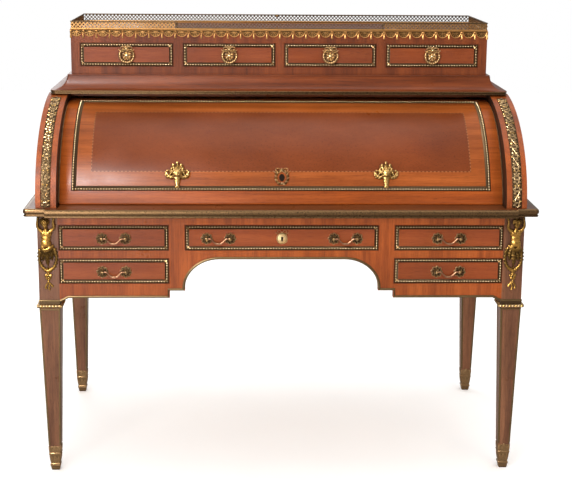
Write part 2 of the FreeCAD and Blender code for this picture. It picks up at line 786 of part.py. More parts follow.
def ring_shape(x, z):
    """A ring with a barrel and pin at its top."""
    y = back(size("case_front") - size("ring_stand"))
    hoop = Part.makeTorus(size("ring_radius"), size("ring_wire"), V(x, y, z - size("ring_drop")), Y_AXIS)
    barrel = rod(V(x - 8, y, z), V(x + 8, y, z), 3)
    neck = rod(V(x, y, z), V(x, y, z - size("ring_drop") + size("ring_radius")), 2.6)
    pin = rod(V(x - 11, y, z), V(x + 11, y, z), size("pin_radius"))
    return hoop.multiFuse([neck, barrel, pin])


def make_small_drawers():
    """The four drawers of the upper case, each with a ring pull."""
    openings = [
        ("outer_left", "-small_half", "-small_outer"),
        ("inner_left", "-small_inner", "-small_mid"),
        ("inner_right", "small_mid", "small_inner"),
        ("outer_right", "small_outer", "small_half"),
    ]
    gap = "drawer_gap"
    for place, x0, x1 in openings:
        bounds = (f"{x0} + {gap}", f"{x1} - {gap}", f"small_low + {gap}", f"small_high - {gap}")
        name = f"small_drawer_{place}"
        node(name, drawer_pieces(*bounds, "case_front", "small_depth", 16, 8, 5))
        signs = [-1 if text.startswith("-") else 1 for text in (x0, x1)]
        middle = sum(sign * size(text.strip("-")) for sign, text in zip(signs, (x0, x1))) / 2
        hinge = (size("small_low") + size("small_high")) / 2 + size("ring_drop") - 2
        brass = bead_frame(*bounds, "case_front")
        top_strip = brass[1]
        brass.append(cut(feature(ring_bracket(middle, hinge)), [top_strip]))
        node(name + "_mounts", brass)
        node(f"ring_{place}", [feature(ring_shape(middle, hinge))])


def make_interior_drawers():
    """Three small drawers of the fitment, each with a turned knob on its front."""
    half = "(carcass_half - post_width - fitment_board)"
    edge = "fitment_third + fitment_board / 2"
    openings = [
        ("left", f"-{half}", f"-({edge})"),
        ("centre", "-fitment_third + fitment_board / 2", "fitment_third - fitment_board / 2"),
        ("right", edge, half),
    ]
    gap = "drawer_gap"
    outer = size("carcass_half") - size("post_width") - size("fitment_board")
    offset = (outer + size("fitment_third") + size("fitment_board") / 2) / 2
    middles = {"left": -offset, "centre": 0.0, "right": offset}
    height = (size("fitment_low") + size("fitment_board") + size("fitment_shelf")) / 2
    face = size("fitment_front")
    for place, x0, x1 in openings:
        bounds = (f"{x0} + {gap}", f"{x1} - {gap}",
                  f"fitment_low + fitment_board + {gap}", f"fitment_shelf - {gap}")
        x = middles[place]
        stem = rod(V(x, back(face), height), V(x, back(face - 8), height), 4)
        knob = Part.makeSphere(7.5, V(x, back(face - 12), height))
        pieces = drawer_pieces(*bounds, "fitment_front", 148, 8, 5, 4)
        pieces.append(feature(stem.fuse(knob)))
        node(f"inner_drawer_{place}", pieces)


# ---------------------------------------------------------------- caryatid mounts

def make_caryatids():
    """Plain bodies of the two cast figures on the front posts."""
    x = size("carcass_half") - size("post_width") / 2
    y = back(0)
    depth = 17.0
    outline = [
        (-24, 744), (24, 744), (26, 716), (14, 690), (15, 660),
        (19, 640), (13, 600), (7, 575), (4, 541), (-4, 541),
        (-7, 575), (-13, 600), (-19, 640), (-15, 660), (-14, 690), (-26, 716),
    ]
    points = [V(x + dx, y - depth, z) for dx, z in outline]
    figure = Part.Face(Part.makePolygon(points + points[:1])).extrude(V(0, depth, 0))
    node("caryatid_mounts", [feature(figure), feature(mirrored(figure))])


def check_and_write():
    """Stop on any failed object or bad shape, then write each sub-part."""
    doc.recompute()
    for item in doc.Objects:
        bad = {"Invalid", "Error"} & set(item.State)
        if bad:
            raise RuntimeError(f"{item.Label} is {sorted(bad)}")
    os.makedirs("parts", exist_ok=True)
    for name, item in NODES.items():
        shape = item.Shape
        if shape.isNull() or not shape.isValid() or not shape.Solids:
            raise RuntimeError(f"{name} has a bad shape")
        shape.exportStep(f"parts/{name}.step")
    print(len(NODES), "sub-parts written")


make_legs()
make_sides_and_backs()
make_front()
make_partitions()
make_top()
make_slide()
make_cheeks()
make_lid()
make_cornice()
make_upper_case()
make_fitment()
make_carcass_drawers()
make_small_drawers()
make_interior_drawers()
make_caryatids()
check_and_write()
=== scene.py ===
import bisect
import json
import random
from math import asin, atan2, cos, exp, hypot, pi, radians, sin

import bmesh
import bpy
from mathutils import Matrix, Vector


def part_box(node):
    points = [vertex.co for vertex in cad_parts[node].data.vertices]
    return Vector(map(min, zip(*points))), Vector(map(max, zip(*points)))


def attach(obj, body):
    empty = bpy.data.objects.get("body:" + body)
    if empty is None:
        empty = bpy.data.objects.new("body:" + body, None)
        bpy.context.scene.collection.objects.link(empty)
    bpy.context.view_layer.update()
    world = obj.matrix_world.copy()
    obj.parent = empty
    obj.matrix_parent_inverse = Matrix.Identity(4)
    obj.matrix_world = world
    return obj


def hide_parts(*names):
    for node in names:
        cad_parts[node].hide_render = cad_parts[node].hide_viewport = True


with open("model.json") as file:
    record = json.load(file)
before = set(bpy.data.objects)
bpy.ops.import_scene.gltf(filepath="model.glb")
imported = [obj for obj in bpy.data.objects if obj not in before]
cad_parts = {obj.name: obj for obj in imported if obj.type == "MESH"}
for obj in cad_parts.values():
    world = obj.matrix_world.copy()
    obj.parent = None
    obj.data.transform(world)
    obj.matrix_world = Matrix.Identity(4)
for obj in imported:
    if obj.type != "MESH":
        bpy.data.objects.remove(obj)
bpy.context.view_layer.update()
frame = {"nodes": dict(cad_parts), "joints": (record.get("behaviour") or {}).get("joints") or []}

# A cylinder-fall desk: the CAD boards get veneer, and the brass is modelled here as cast work.
# Ornaments are drawn in millimetres as (across, along, proud) and laid on a surface by a mapping.

MM = 0.001
SIDES = (-1, 1)
rng = random.Random(7)


def box_mm(node):
    """A CAD node's box in millimetres: x0, x1, y0, y1, z0, z1."""
    low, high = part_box(node)
    return tuple(value / MM for pair in zip(low, high) for value in pair)


# ------------------------------------------------------------------ places, read from the frame

POST_IN, POST_OUT, FRONT = box_mm("leg_front_right")[:3]
POST_MID = (POST_IN + POST_OUT) / 2
POST_WIDE = POST_OUT - POST_IN
_, CASE_HALF, CASE_FRONT, CASE_BACK, _, CASE_HIGH = box_mm("upper_case")
# Half width, front and back of the cornice's lip and of the cap over its cove, then their heights.
LIP = (672.0, FRONT + 294, FRONT + 735)
CAP = (623.0, FRONT + 318, FRONT + 690)
LIP_LOW, COVE_LOW, COVE_HIGH = 1056.0, 1067.2, 1107.0
DUST_Y = FRONT + 372
HINGE = next(joint for joint in frame["joints"] if joint["name"] == "lid_swing")["pos_m"]
AXIS_Y, AXIS_Z = HINGE[1] / MM, HINGE[2] / MM
LID = box_mm("cylinder_lid")
LID_RADIUS = LID[5] - AXIS_Z
LID_THICK = 18.0
CHEEK = box_mm("cheek_right")
CHEEK_RUN, CHEEK_RISE = 420.0, 280.0

BEAD_PITCH = 7.8
BEAD_ROW = 4.6          # from a frame's outer edge to the middle of its beads
BAIL_HALF, BAIL_STAND = 32.5, 9.0
ROSETTE = 18.2
RING_RADIUS, RING_DROP, RING_STAND = 20.5, 26.0, 8.0
LOCK_RADIUS = 15.5

# The lid's frame and field: half widths, and angles above the horizontal.
BEAD_HALF, BEAD_LOW, BEAD_HIGH = 586.0, 20.6, 84.0
FIELD_HALF, FIELD_LOW, FIELD_HIGH = 530.0, 30.4, 68.5
PULL_ANGLE, LOCK_ANGLE = 28.7, 27.5


# ------------------------------------------------------------------ materials

class Graph:
    """A material's node tree, with short calls that make and join nodes."""

    def __init__(self, name):
        self.material = bpy.data.materials.new(name)
        self.material.use_nodes = True
        self.tree = self.material.node_tree
        self.tree.nodes.clear()
        self.shader = self.tree.nodes.new("ShaderNodeBsdfPrincipled")
        output = self.tree.nodes.new("ShaderNodeOutputMaterial")
        self.tree.links.new(self.shader.outputs[0], output.inputs[0])

    def set(self, node, key, value):
        socket = node.inputs[key]
        if isinstance(value, bpy.types.NodeSocket):
            self.tree.links.new(value, socket)
        else:
            socket.default_value = value

    def add(self, kind, inputs=(), output=0, **settings):
        node = self.tree.nodes.new("ShaderNode" + kind)
        for key, value in settings.items():
            setattr(node, key, value)
        for key, value in dict(inputs).items():
            self.set(node, key, value)
        return node.outputs[output]

    def math(self, operation, first, second=0.0):
        return self.add("Math", {0: first, 1: second}, operation=operation)

    def times(self, first, second):
        return self.math("MULTIPLY", first, second)

    def less(self, first, second):
        return self.math("LESS_THAN", first, second)

    def mix(self, share, first, second, blend="MIX"):
        return self.add("Mix", {0: share, 6: first, 7: second}, output=2, data_type="RGBA", blend_type=blend)

    def place(self, source="Object"):
        return self.add("TexCoord", output={"Object": 3, "UV": 2}[source])

    def part(self, vector, axis):
        return self.add("SeparateXYZ", {0: vector}, output=axis)

    def scaled(self, vector, scale):
        return self.add("Mapping", {"Vector": vector, "Scale": scale})

    def noise(self, vector, scale=1.0, detail=3.0, rough=0.55):
        return self.add("TexNoise", {"Vector": vector, "Scale": scale, "Detail": detail, "Roughness": rough})

    def remap(self, value, low, high, to_low, to_high):
        return self.add("MapRange", {0: value, 1: low, 2: high, 3: to_low, 4: to_high})

    def ramp(self, value, stops):
        node = self.tree.nodes.new("ShaderNodeValToRGB")
        band = node.color_ramp
        while len(band.elements) < len(stops):
            band.elements.new(1.0)
        for element, (place, colour) in zip(band.elements, stops):
            element.position = place
            element.color = colour if len(colour) == 4 else (*colour, 1)
        self.set(node, 0, value)
        return node.outputs[0]

    def between(self, value, low, high):
        """1 where low < value < high."""
        return self.times(self.math("GREATER_THAN", value, low), self.less(value, high))

    def bump(self, height, strength, distance):
        return self.add("Bump", {"Height": height, "Strength": strength, "Distance": distance})

    def finish(self, **sockets):
        for key, value in sockets.items():
            self.set(self.shader, key.replace("_", " "), value)
        return self.material


def grey(value):
    return (value, value, value, 1)


# How much finer the figure is along each axis, for grain along x, y or z.
GRAINS = {"x": (7, 170, 170), "y": (170, 7, 170), "z": (170, 170, 7)}
# Dark, middle and light tones of each wood.
VENEER = ((0.137, 0.027, 0.0034), (0.226, 0.046, 0.0051), (0.315, 0.073, 0.0102))
CALM = ((0.147, 0.028, 0.0043), (0.181, 0.035, 0.0051), (0.215, 0.046, 0.0076))
GRADIN = ((0.079, 0.015, 0.0017), (0.139, 0.027, 0.0034), (0.200, 0.044, 0.0068))
TABLE = ((0.07, 0.018, 0.004), (0.115, 0.031, 0.007), (0.16, 0.048, 0.012))
LEG = ((0.070, 0.027, 0.013), (0.128, 0.050, 0.023), (0.188, 0.080, 0.037))
CHEEKS = ((0.179, 0.036, 0.0051), (0.263, 0.054, 0.0068), (0.347, 0.079, 0.0119))
OAK = ((0.16, 0.075, 0.03), (0.34, 0.18, 0.08), (0.50, 0.30, 0.145))
DRAWER_OAK = ((0.20, 0.10, 0.04), (0.36, 0.20, 0.09), (0.50, 0.31, 0.15))
LID_CENTRE = ((0.137, 0.027, 0.0043), (0.153, 0.032, 0.0051), (0.173, 0.037, 0.0068))
LID_BAND = ((0.178, 0.040, 0.0064), (0.262, 0.061, 0.0096), (0.345, 0.090, 0.0170))
LID_BORDER = ((0.210, 0.042, 0.0059), (0.299, 0.062, 0.0076), (0.389, 0.091, 0.0136))


def grain_colour(graph, place, stretch, tones):
    """Wood figure: broad bands, fine fibres and dark pores. Returns colour and pore height."""
    broad, fibres, pores = (
        graph.noise(graph.scaled(place, tuple(v * fine for v in stretch)), detail=detail, rough=rough)
        for fine, detail, rough in ((0.22, 4, 0.6), (1.6, 5, 0.7), (6.5, 2, 0.5)))
    patch = graph.noise(place, scale=3.1, detail=2)
    figure = graph.math("ADD", graph.times(broad, 0.62), graph.times(fibres, 0.38))
    colour = graph.ramp(figure, list(zip((0.36, 0.49, 0.63), tones)))
    warmth = graph.ramp(patch, [(0.35, grey(0.80)), (0.65, grey(1.12))])
    colour = graph.mix(0.85, colour, warmth, "MULTIPLY")
    pore = graph.ramp(pores, [(0.33, grey(0.0)), (0.42, grey(1.0))])
    return graph.mix(0.35, colour, pore, "MULTIPLY"), pore


def polish(graph, colour, pore, place, gloss=0.36, coat=0.0, shine=0.22):
    """French polish with faint wear: uneven roughness and pores that break the surface."""
    haze = graph.noise(place, scale=9.0, detail=5, rough=0.7)
    rough = graph.remap(haze, 0.3, 0.7, gloss - 0.05, gloss + 0.12)
    return graph.finish(Base_Color=colour, Roughness=rough, Normal=graph.bump(pore, 0.18, 0.0003),
                        Coat_Weight=coat, Coat_Roughness=0.22, Specular_IOR_Level=shine)


def veneer(name, axis, tones, gloss=0.30, coat=0.0):
    graph = Graph(name)
    place = graph.place()
    return polish(graph, *grain_colour(graph, place, GRAINS[axis], tones), place, gloss, coat)


def cheek_wood(inner):
    """Cheek veneer, with the inner face painted dark as shade where the lid runs."""
    graph = Graph("veneer_cheek")
    place = graph.place()
    colour, pore = grain_colour(graph, place, GRAINS["y"], CHEEKS)
    across = graph.math("ABSOLUTE", graph.part(place, 0))
    # Painted shade: the inner face inside the lid's run is made near black.
    painted_shade = graph.less(across, (inner + 0.6) * MM)
    return polish(graph, graph.mix(painted_shade, colour, (0.030, 0.012, 0.005, 1)), pore, place)


def gradin_wood(top):
    """Upright veneer whose level top is polished like glass."""
    graph = Graph("veneer_gradin")
    place = graph.place()
    polish(graph, *grain_colour(graph, place, GRAINS["z"], GRADIN), place)
    level = graph.math("GREATER_THAN", graph.part(place, 2), (top - 0.5) * MM)
    smooth = graph.remap(graph.noise(place, scale=12.0, detail=4), 0.3, 0.7, 0.03, 0.08)
    rough = graph.math("ADD", graph.times(level, smooth), graph.times(graph.math("SUBTRACT", 1.0, level), 0.38))
    return graph.finish(Roughness=rough, Specular_IOR_Level=graph.math("ADD", 0.20, graph.times(level, 0.16)))


def drawer_wood(name, face, thick):
    """Veneer on a drawer's front and oak on the rest, told apart by depth."""
    graph = Graph(name)
    place = graph.place()
    depth = graph.part(place, 1)
    show, pore = grain_colour(graph, place, GRAINS["x"], CALM)
    oak, _ = grain_colour(graph, place, GRAINS["y"], DRAWER_OAK)
    behind = graph.math("GREATER_THAN", depth, (face + thick * 0.25) * MM)
    return polish(graph, graph.mix(behind, show, oak), pore, place, gloss=0.32)


def lid_veneer(stringing):
    """The lid's outside by UV in metres: border, crossband, checker stringing and central field."""
    graph = Graph("lid_veneer")
    place = graph.place("UV")
    reach = graph.math("ABSOLUTE", graph.part(place, 0))
    along = graph.part(place, 1)
    centre, pore = grain_colour(graph, place, (26, 62, 62), LID_CENTRE)
    band, _ = grain_colour(graph, place, GRAINS["x"], LID_BAND)
    border, _ = grain_colour(graph, place, GRAINS["x"], LID_BORDER)

    def within(half, low, high, grow=0.0):
        return graph.times(graph.less(reach, (half + grow) * MM),
                           graph.between(along, (lid_arc(low) - grow) * MM, (lid_arc(high) + grow) * MM))

    inner = within(FIELD_HALF, FIELD_LOW, FIELD_HIGH)
    line = graph.math("SUBTRACT", within(FIELD_HALF, FIELD_LOW, FIELD_HIGH, stringing), inner)
    checks = graph.add("TexChecker", {"Vector": place, "Scale": 185.0}, output=1)
    string = graph.mix(checks, (0.110, 0.030, 0.007, 1), (0.29, 0.105, 0.036, 1))
    colour = graph.mix(within(BEAD_HALF, BEAD_LOW, BEAD_HIGH), border, band)
    for mask, tone in ((inner, centre), (line, string)):
        colour = graph.mix(mask, colour, tone)
    return polish(graph, colour, pore, place, gloss=0.31, shine=0.14)


def gilt_brass(name, base, rough, reach=0.006, shade_by_height=None):
    """Aged gilding: bright where rubbed; painted shade makes it brown and near black in the hollows; may carry painted
    light and shade that change with height.
    """
    graph = Graph(name)
    place = graph.place()
    # Painted shade: an occlusion mask darkens the hollows.
    painted_hollow_shade = graph.add("AmbientOcclusion", {"Distance": reach}, output=1, samples=6)
    worn = graph.noise(place, scale=220.0, detail=4, rough=0.7)
    cloud = graph.noise(place, scale=26.0, detail=3)
    middle, tarnish = (tuple(value * share for value, share in zip(base, shares))
                       for shares in ((0.42, 0.36, 0.30), (0.72, 0.80, 0.80)))
    tone = graph.ramp(painted_hollow_shade, [(0.30, (0.020, 0.009, 0.003)), (0.66, middle), (0.96, base)])
    dust = graph.ramp(worn, [(0.30, grey(0.70)), (0.62, grey(1.15))])
    colour = graph.mix(0.7, tone, dust, "MULTIPLY")
    colour = graph.mix(graph.times(cloud, 0.5), colour, (*tarnish, 1))
    if shade_by_height:
        # Painted light and shade by height: the colour is scaled by a brightness given at each height.
        height_shade = graph.ramp(graph.part(place, 2), [(z, grey(value)) for z, value in shade_by_height])
        colour = graph.mix(1.0, colour, height_shade, "MULTIPLY")
    return graph.finish(Base_Color=colour, Roughness=graph.remap(worn, 0.25, 0.75, rough - 0.06, rough + 0.2),
                        Normal=graph.bump(worn, 0.25, 0.0004), Metallic=0.92)


def leather(box):
    """Green writing leather with two gilt tooled lines near its edge."""
    graph = Graph("writing_leather")
    place = graph.place()
    x = graph.math("ABSOLUTE", graph.part(place, 0))
    y = graph.part(place, 1)
    mottle = graph.noise(place, scale=14.0, detail=4)
    colour = graph.ramp(mottle, [(0.3, (0.022, 0.045, 0.020)), (0.7, (0.050, 0.085, 0.036))])
    offset = graph.math("ABSOLUTE", graph.math("SUBTRACT", y, (box[2] + box[3]) / 2 * MM))

    def within(inset):
        return graph.times(graph.less(x, (box[1] - inset) * MM),
                           graph.less(offset, ((box[3] - box[2]) / 2 - inset) * MM))

    thick, thin = (graph.math("SUBTRACT", within(inset), within(inset + wide))
                   for inset, wide in ((16.0, 3.2), (24.0, 1.4)))
    colour = graph.mix(graph.math("MAXIMUM", thick, thin), colour, (0.45, 0.29, 0.09, 1))
    cells = graph.add("TexVoronoi", {"Vector": place, "Scale": 900.0})
    return graph.finish(Base_Color=colour, Roughness=0.55, Normal=graph.bump(cells, 0.35, 0.0004))


def floor_paint():
    """Pale paint that glows a little, and that polished wood mirrors darker than it is."""
    graph = Graph("pale_floor")
    speck = graph.noise(graph.place(), scale=6.0, detail=4)
    colour = graph.ramp(speck, [(0.3, (0.90, 0.90, 0.895)), (0.7, (0.93, 0.93, 0.925))])
    colour = graph.mix(graph.add("LightPath", output=3), colour, (0.30, 0.27, 0.25, 1))
    return graph.finish(Base_Color=colour, Roughness=0.6, Emission_Color=(1, 1, 1, 1), Emission_Strength=0.16)


# ------------------------------------------------------------------ mesh kit

class Cast:
    """Vertices and faces of one ornament, in (across, along, proud) millimetres."""

    def __init__(self):
        self.points, self.faces, self.tones = [], [], []
        self.tone = 0

    def add(self, points, faces, tones=None):
        base = len(self.points)
        self.points += [tuple(point) for point in points]
        self.faces += [tuple(base + index for index in face) for face in faces]
        self.tones += tones or [self.tone] * len(faces)

    def rings(self, rings, close_ends=True):
        """Skin a chain of equal closed rings."""
        count = len(rings[0])
        faces = []
        for a in range(0, (len(rings) - 1) * count, count):
            for i in range(count):
                j = (i + 1) % count
                faces.append((a + i, a + j, a + count + j, a + count + i))
        if close_ends:
            last = (len(rings) - 1) * count
            faces += [tuple(range(count))[::-1], tuple(range(last, last + count))]
        self.add([point for ring in rings for point in ring], faces)

    def dome(self, u, v, ru, rv, rise, base=0.0, levels=3, sides=10):
        """A low rounded boss."""
        rings = []
        for level in range(levels + 1):
            lift = pi / 2 * level / levels * 0.96
            rings.append([(u + ru * cos(a) * cos(lift), v + rv * sin(a) * cos(lift), base + rise * sin(lift))
                          for a in turns(sides)])
        self.rings(rings)

    def leaf(self, u, v, length, width, turn, rise, curl=0.0, base=0.0, stations=7, lobes=0):
        """A pointed leaf with a raised rib, laid from its root in the direction turn."""
        rings = []
        for k in range(stations):
            t = k / (stations - 1)
            half = width / 2 * (sin(pi * min(1.0, t * 0.93 + 0.07)) ** 0.75) + 0.06 * width * (1 - t)
            if lobes:
                half *= 0.80 + 0.20 * cos(2 * pi * lobes * t)
            half = max(half, 0.12)
            bend = turn + curl * t
            x, y = u + length * t * cos(bend), v + length * t * sin(bend)
            nx, ny = -sin(turn + 2 * curl * t), cos(turn + 2 * curl * t)
            lift = rise * (0.55 + 0.45 * sin(pi * t * 0.9 + 0.3))
            rings.append([(x + nx * half * side, y + ny * half * side, base + lift * height) for side, height in
                          ((-1, 0.0), (-1, 0.45), (-0.45, 0.72), (0, 1.0), (0.45, 0.72), (1, 0.45), (1, 0.0))])
        self.rings(rings)

    def strip(self, path, width, rise, scales=None, base=0.0, closed=False):
        """A half-round bar along a flat path."""
        count = len(path)
        rings = []
        for k, (u, v) in enumerate(path):
            before = path[k - 1] if k or closed else path[k]
            after = path[(k + 1) % count] if k < count - 1 or closed else path[k]
            du, dv = after[0] - before[0], after[1] - before[1]
            span = hypot(du, dv) or 1.0
            scale = scales[k] if scales else 1.0
            reach = width / 2 * scale / span
            rings.append([(u - dv * side * reach, v + du * side * reach, base + rise * height * scale)
                          for side, height in ((-1, 0.0), (-0.8, 0.6), (0, 1.0), (0.8, 0.6), (1, 0.0))])
        self.rings(rings + rings[:1] if closed else rings, close_ends=not closed)

    def tube(self, path, radii, sides=10):
        """A round bar through points in space."""
        points = [Vector(point) for point in path]
        rings = []
        normal = None
        for k, point in enumerate(points):
            ahead = points[min(k + 1, len(points) - 1)] - points[max(k - 1, 0)]
            ahead.normalize()
            if normal is None:
                normal = ahead.orthogonal().normalized()
            normal = (normal - ahead * normal.dot(ahead)).normalized()
            other = ahead.cross(normal)
            radius = radii[k] if isinstance(radii, (list, tuple)) else radii
            rings.append([tuple(point + (normal * cos(a) + other * sin(a)) * radius) for a in turns(sides)])
        self.rings(rings)

    def ball(self, centre, radii, sides=10, levels=6):
        """An ellipsoid."""
        (x, y, z), (rx, ry, rz) = centre, radii
        rings = []
        for level in range(levels + 1):
            lift = pi * (level / levels - 0.5) * 0.985
            rings.append([(x + rx * cos(lift) * cos(a), y + ry * sin(lift), z + rz * cos(lift) * sin(a))
                          for a in turns(sides)])
        self.rings(rings)

    def merge(self, other, mapping):
        """Take in another cast through a mapping."""
        self.add([mapping(*point) for point in other.points], other.faces, list(other.tones))

    def bar(self, start, end, width, depth):
        """A flat bar between two points of the plane."""
        du, dv = end[0] - start[0], end[1] - start[1]
        span = hypot(du, dv)
        nu, nv = -dv / span * width / 2, du / span * width / 2
        low, high = depth
        self.rings([[(u + nu, v + nv, low), (u - nu, v - nv, low), (u - nu, v - nv, high), (u + nu, v + nv, high)]
                    for u, v in (start, end)])

    def block(self, u0, u1, v0, v1, h0, h1):
        corners = [(u, v, h) for h in (h0, h1) for v in (v0, v1) for u in (u0, u1)]
        self.add(corners, [(0, 1, 3, 2), (4, 6, 7, 5), (0, 4, 5, 1), (2, 3, 7, 6), (0, 2, 6, 4), (1, 5, 7, 3)])


def turns(count):
    return [2 * pi * k / count for k in range(count)]


def fan(u, v, reach, count, tall=None, start=0.0):
    """Places round a circle or an upright ellipse, each with its direction."""
    return [(u + reach * cos(start + a), v + (tall or reach) * sin(start + a), start + a) for a in turns(count)]


def circle(u, v, reach, count, tall=None):
    return [place[:2] for place in fan(u, v, reach, count, tall)]


def outward(turn, side):
    """A direction for the right side, mirrored when side is -1."""
    return turn if side > 0 else pi - turn


def spiral(centre, radius, start, coils, steps=10, end_scale=0.25):
    """Points of a flat spiral that winds inward."""
    path = []
    for k in range(steps + 1):
        t = k / steps
        reach = radius * (1 - (1 - end_scale) * t)
        angle = start + 2 * pi * coils * t
        path.append((centre[0] + reach * cos(angle), centre[1] + reach * sin(angle)))
    return path


def curve(points, steps=6):
    """A smooth path through control points (Catmull-Rom)."""
    points = [Vector(point) for point in points]
    padded = [points[0] * 2 - points[1], *points, points[-1] * 2 - points[-2]]
    path = []
    for k in range(1, len(padded) - 2):
        a, b, c, d = padded[k - 1:k + 3]
        for i in range(steps):
            t = i / steps
            path.append(0.5 * (2 * b + (c - a) * t + (2 * a - 5 * b + 4 * c - d) * t * t
                               + (3 * b - a - 3 * c + d) * t * t * t))
    return [tuple(point) for point in path + points[-1:]]


def as_drawn(u, v, h):
    """Mapping for casts that are already drawn in the frame."""
    return (u, v, h)


def on_front(plane):
    """Mapping for a vertical plane that faces the sitter."""
    return lambda u, v, h: (u, plane - h, v)


def on_back(plane):
    """Mapping for a vertical plane that faces the wall."""
    return lambda u, v, h: (u, plane + h, v)


def on_side(plane, sign):
    """Mapping for a vertical plane that faces left (sign -1) or right (1); across runs along Y."""
    return lambda u, v, h: (plane + sign * h, u, v)


def on_post(x, y, quarter, half):
    """Mapping for one face of a square post whose half width depends on the height."""
    c, s = ((1, 0), (0, 1), (-1, 0), (0, -1))[quarter]

    def place(u, v, h):
        out = half(v) + h
        return (x + u * c + out * s, y + u * s - out * c, v)
    return place


def lid_arc(angle):
    """Arc length on the lid's outside for an angle above the horizontal, in degrees."""
    return radians(angle) * LID_RADIUS


def on_lid(u, v, h):
    """Mapping for the lid's outside; along is arc length from the horizontal."""
    angle = v / LID_RADIUS
    radius = LID_RADIUS + h
    return (u, AXIS_Y - radius * cos(angle), AXIS_Z + radius * sin(angle))


def cheek_table(steps=400):
    """Arc length and parameter along the cheek's quarter ellipse, from its foot."""
    table = [(0.0, 0.0)]
    for k in range(1, steps + 1):
        t0, t1 = pi / 2 * (k - 1) / steps, pi / 2 * k / steps
        step = hypot(CHEEK_RUN * (cos(t0) - cos(t1)), CHEEK_RISE * (sin(t1) - sin(t0)))
        table.append((table[-1][0] + step, t1))
    return table


CHEEK_TABLE = cheek_table()


def on_cheek(sign):
    """Mapping for the front of a cheek; across is X, along is arc length from the foot."""
    def place(u, v, h):
        length = max(v, 0.0)
        index = min(max(bisect.bisect_left(CHEEK_TABLE, (length, 0.0)), 1), len(CHEEK_TABLE) - 1)
        (s0, t0), (s1, t1) = CHEEK_TABLE[index - 1], CHEEK_TABLE[index]
        turn = t0 + (t1 - t0) * (length - s0) / (s1 - s0)
        normal = Vector((cos(turn) / CHEEK_RUN, sin(turn) / CHEEK_RISE)).normalized()
        return (sign * u, CHEEK[2] + CHEEK_RUN * (1 - cos(turn)) - normal[0] * h,
                CHEEK[4] + CHEEK_RISE * sin(turn) + normal[1] * h + min(v, 0.0))
    return place


MATERIALS = {}


def fill_mesh(mesh, points, faces):
    """Fill a mesh and turn its faces outward."""
    mesh.from_pydata(points, [], faces)
    work = bmesh.new()
    work.from_mesh(mesh)
    bmesh.ops.recalc_face_normals(work, faces=work.faces)
    work.to_mesh(mesh)
    work.free()


def show(name, mesh, body, slot, stands_for, sharp):
    """Link a mesh as a smooth piece that rides on a body, in place of some CAD nodes."""
    mesh.shade_smooth()
    mesh.set_sharp_from_angle(angle=radians(sharp))
    piece = bpy.data.objects.new(name, mesh)
    bpy.context.scene.collection.objects.link(piece)
    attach(piece, body)
    if stands_for:
        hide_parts(*stands_for)


def make(name, cast, metals, stands_for=(), body="desk_frame", mapping=as_drawn, slot="gilt_brass", sharp=38):
    """Turn a cast into a piece; the cast's tones pick from the named metals."""
    mesh = bpy.data.meshes.new(name)
    fill_mesh(mesh, [[value * MM for value in mapping(*point)] for point in cast.points], cast.faces)
    mesh.polygons.foreach_set("material_index", cast.tones)
    for metal in metals.split():
        mesh.materials.append(MATERIALS[metal])
    show(name, mesh, body, slot, stands_for, sharp)


def fuse(cast, voxel, passes):
    """Melt overlapping forms into one casting by a voxel remesh, then ease its surface."""
    mesh = bpy.data.meshes.new("melt")
    fill_mesh(mesh, cast.points, cast.faces)
    holder = bpy.data.objects.new("melt", mesh)
    bpy.context.scene.collection.objects.link(holder)
    remesh = holder.modifiers.new("remesh", "REMESH")
    remesh.mode = "VOXEL"
    remesh.voxel_size = voxel
    ease = holder.modifiers.new("ease", "SMOOTH")
    ease.factor = 0.5
    ease.iterations = passes
    graph = bpy.context.evaluated_depsgraph_get()
    result = bpy.data.meshes.new_from_object(holder.evaluated_get(graph))
    melted = Cast()
    melted.add([vertex.co for vertex in result.vertices], [polygon.vertices for polygon in result.polygons])
    bpy.data.objects.remove(holder)
    return melted


# ------------------------------------------------------------------ stage, light and camera

def make_stage():
    mesh = bpy.data.meshes.new("floor")
    half = 9.0
    mesh.from_pydata([(-half, -half, 0), (half, -half, 0), (half, half, 0), (-half, half, 0)], [], [(0, 1, 2, 3)])
    mesh.materials.append(floor_paint())
    floor = bpy.data.objects.new("floor", mesh)
    bpy.context.scene.collection.objects.link(floor)
    # A white sky that is brighter overhead for the desk, and even for the camera.
    world = bpy.data.worlds.new("studio")
    world.use_nodes = True
    tree = world.node_tree
    seen = tree.nodes.new("ShaderNodeLightPath").outputs["Is Camera Ray"]
    direction = tree.nodes.new("ShaderNodeTexCoord").outputs["Generated"]
    split = tree.nodes.new("ShaderNodeSeparateXYZ")
    sky = tree.nodes.new("ShaderNodeMapRange")
    for index, value in enumerate((0.05, 0.75, 0.20, 1.15), 1):
        sky.inputs[index].default_value = value
    pick = tree.nodes.new("ShaderNodeMix")
    pick.inputs[3].default_value = 1.0
    back = tree.nodes["Background"].inputs
    back[0].default_value = (1.0, 1.0, 1.0, 1)
    for start, end in ((direction, split.inputs[0]), (split.outputs[2], sky.inputs[0]), (seen, pick.inputs[0]),
                       (sky.outputs[0], pick.inputs[2]), (pick.outputs[0], back[1])):
        tree.links.new(start, end)
    bpy.context.scene.world = world
    bpy.context.scene.view_settings.view_transform = "Standard"


def area_light(name, place, target, size, power, colour=(1, 1, 1), unseen=None):
    """A rectangular light; unseen names the kind of ray that doesn't meet it."""
    data = bpy.data.lights.new(name, "AREA")
    data.shape = "RECTANGLE"
    data.size, data.size_y = size
    data.energy = power
    data.color = colour
    lamp = bpy.data.objects.new(name, data)
    lamp.location = place
    lamp.rotation_mode = "QUATERNION"
    lamp.rotation_quaternion = (Vector(target) - Vector(place)).to_track_quat("-Z", "Y")
    if unseen:
        setattr(lamp, "visible_" + unseen, False)
    bpy.context.scene.collection.objects.link(lamp)


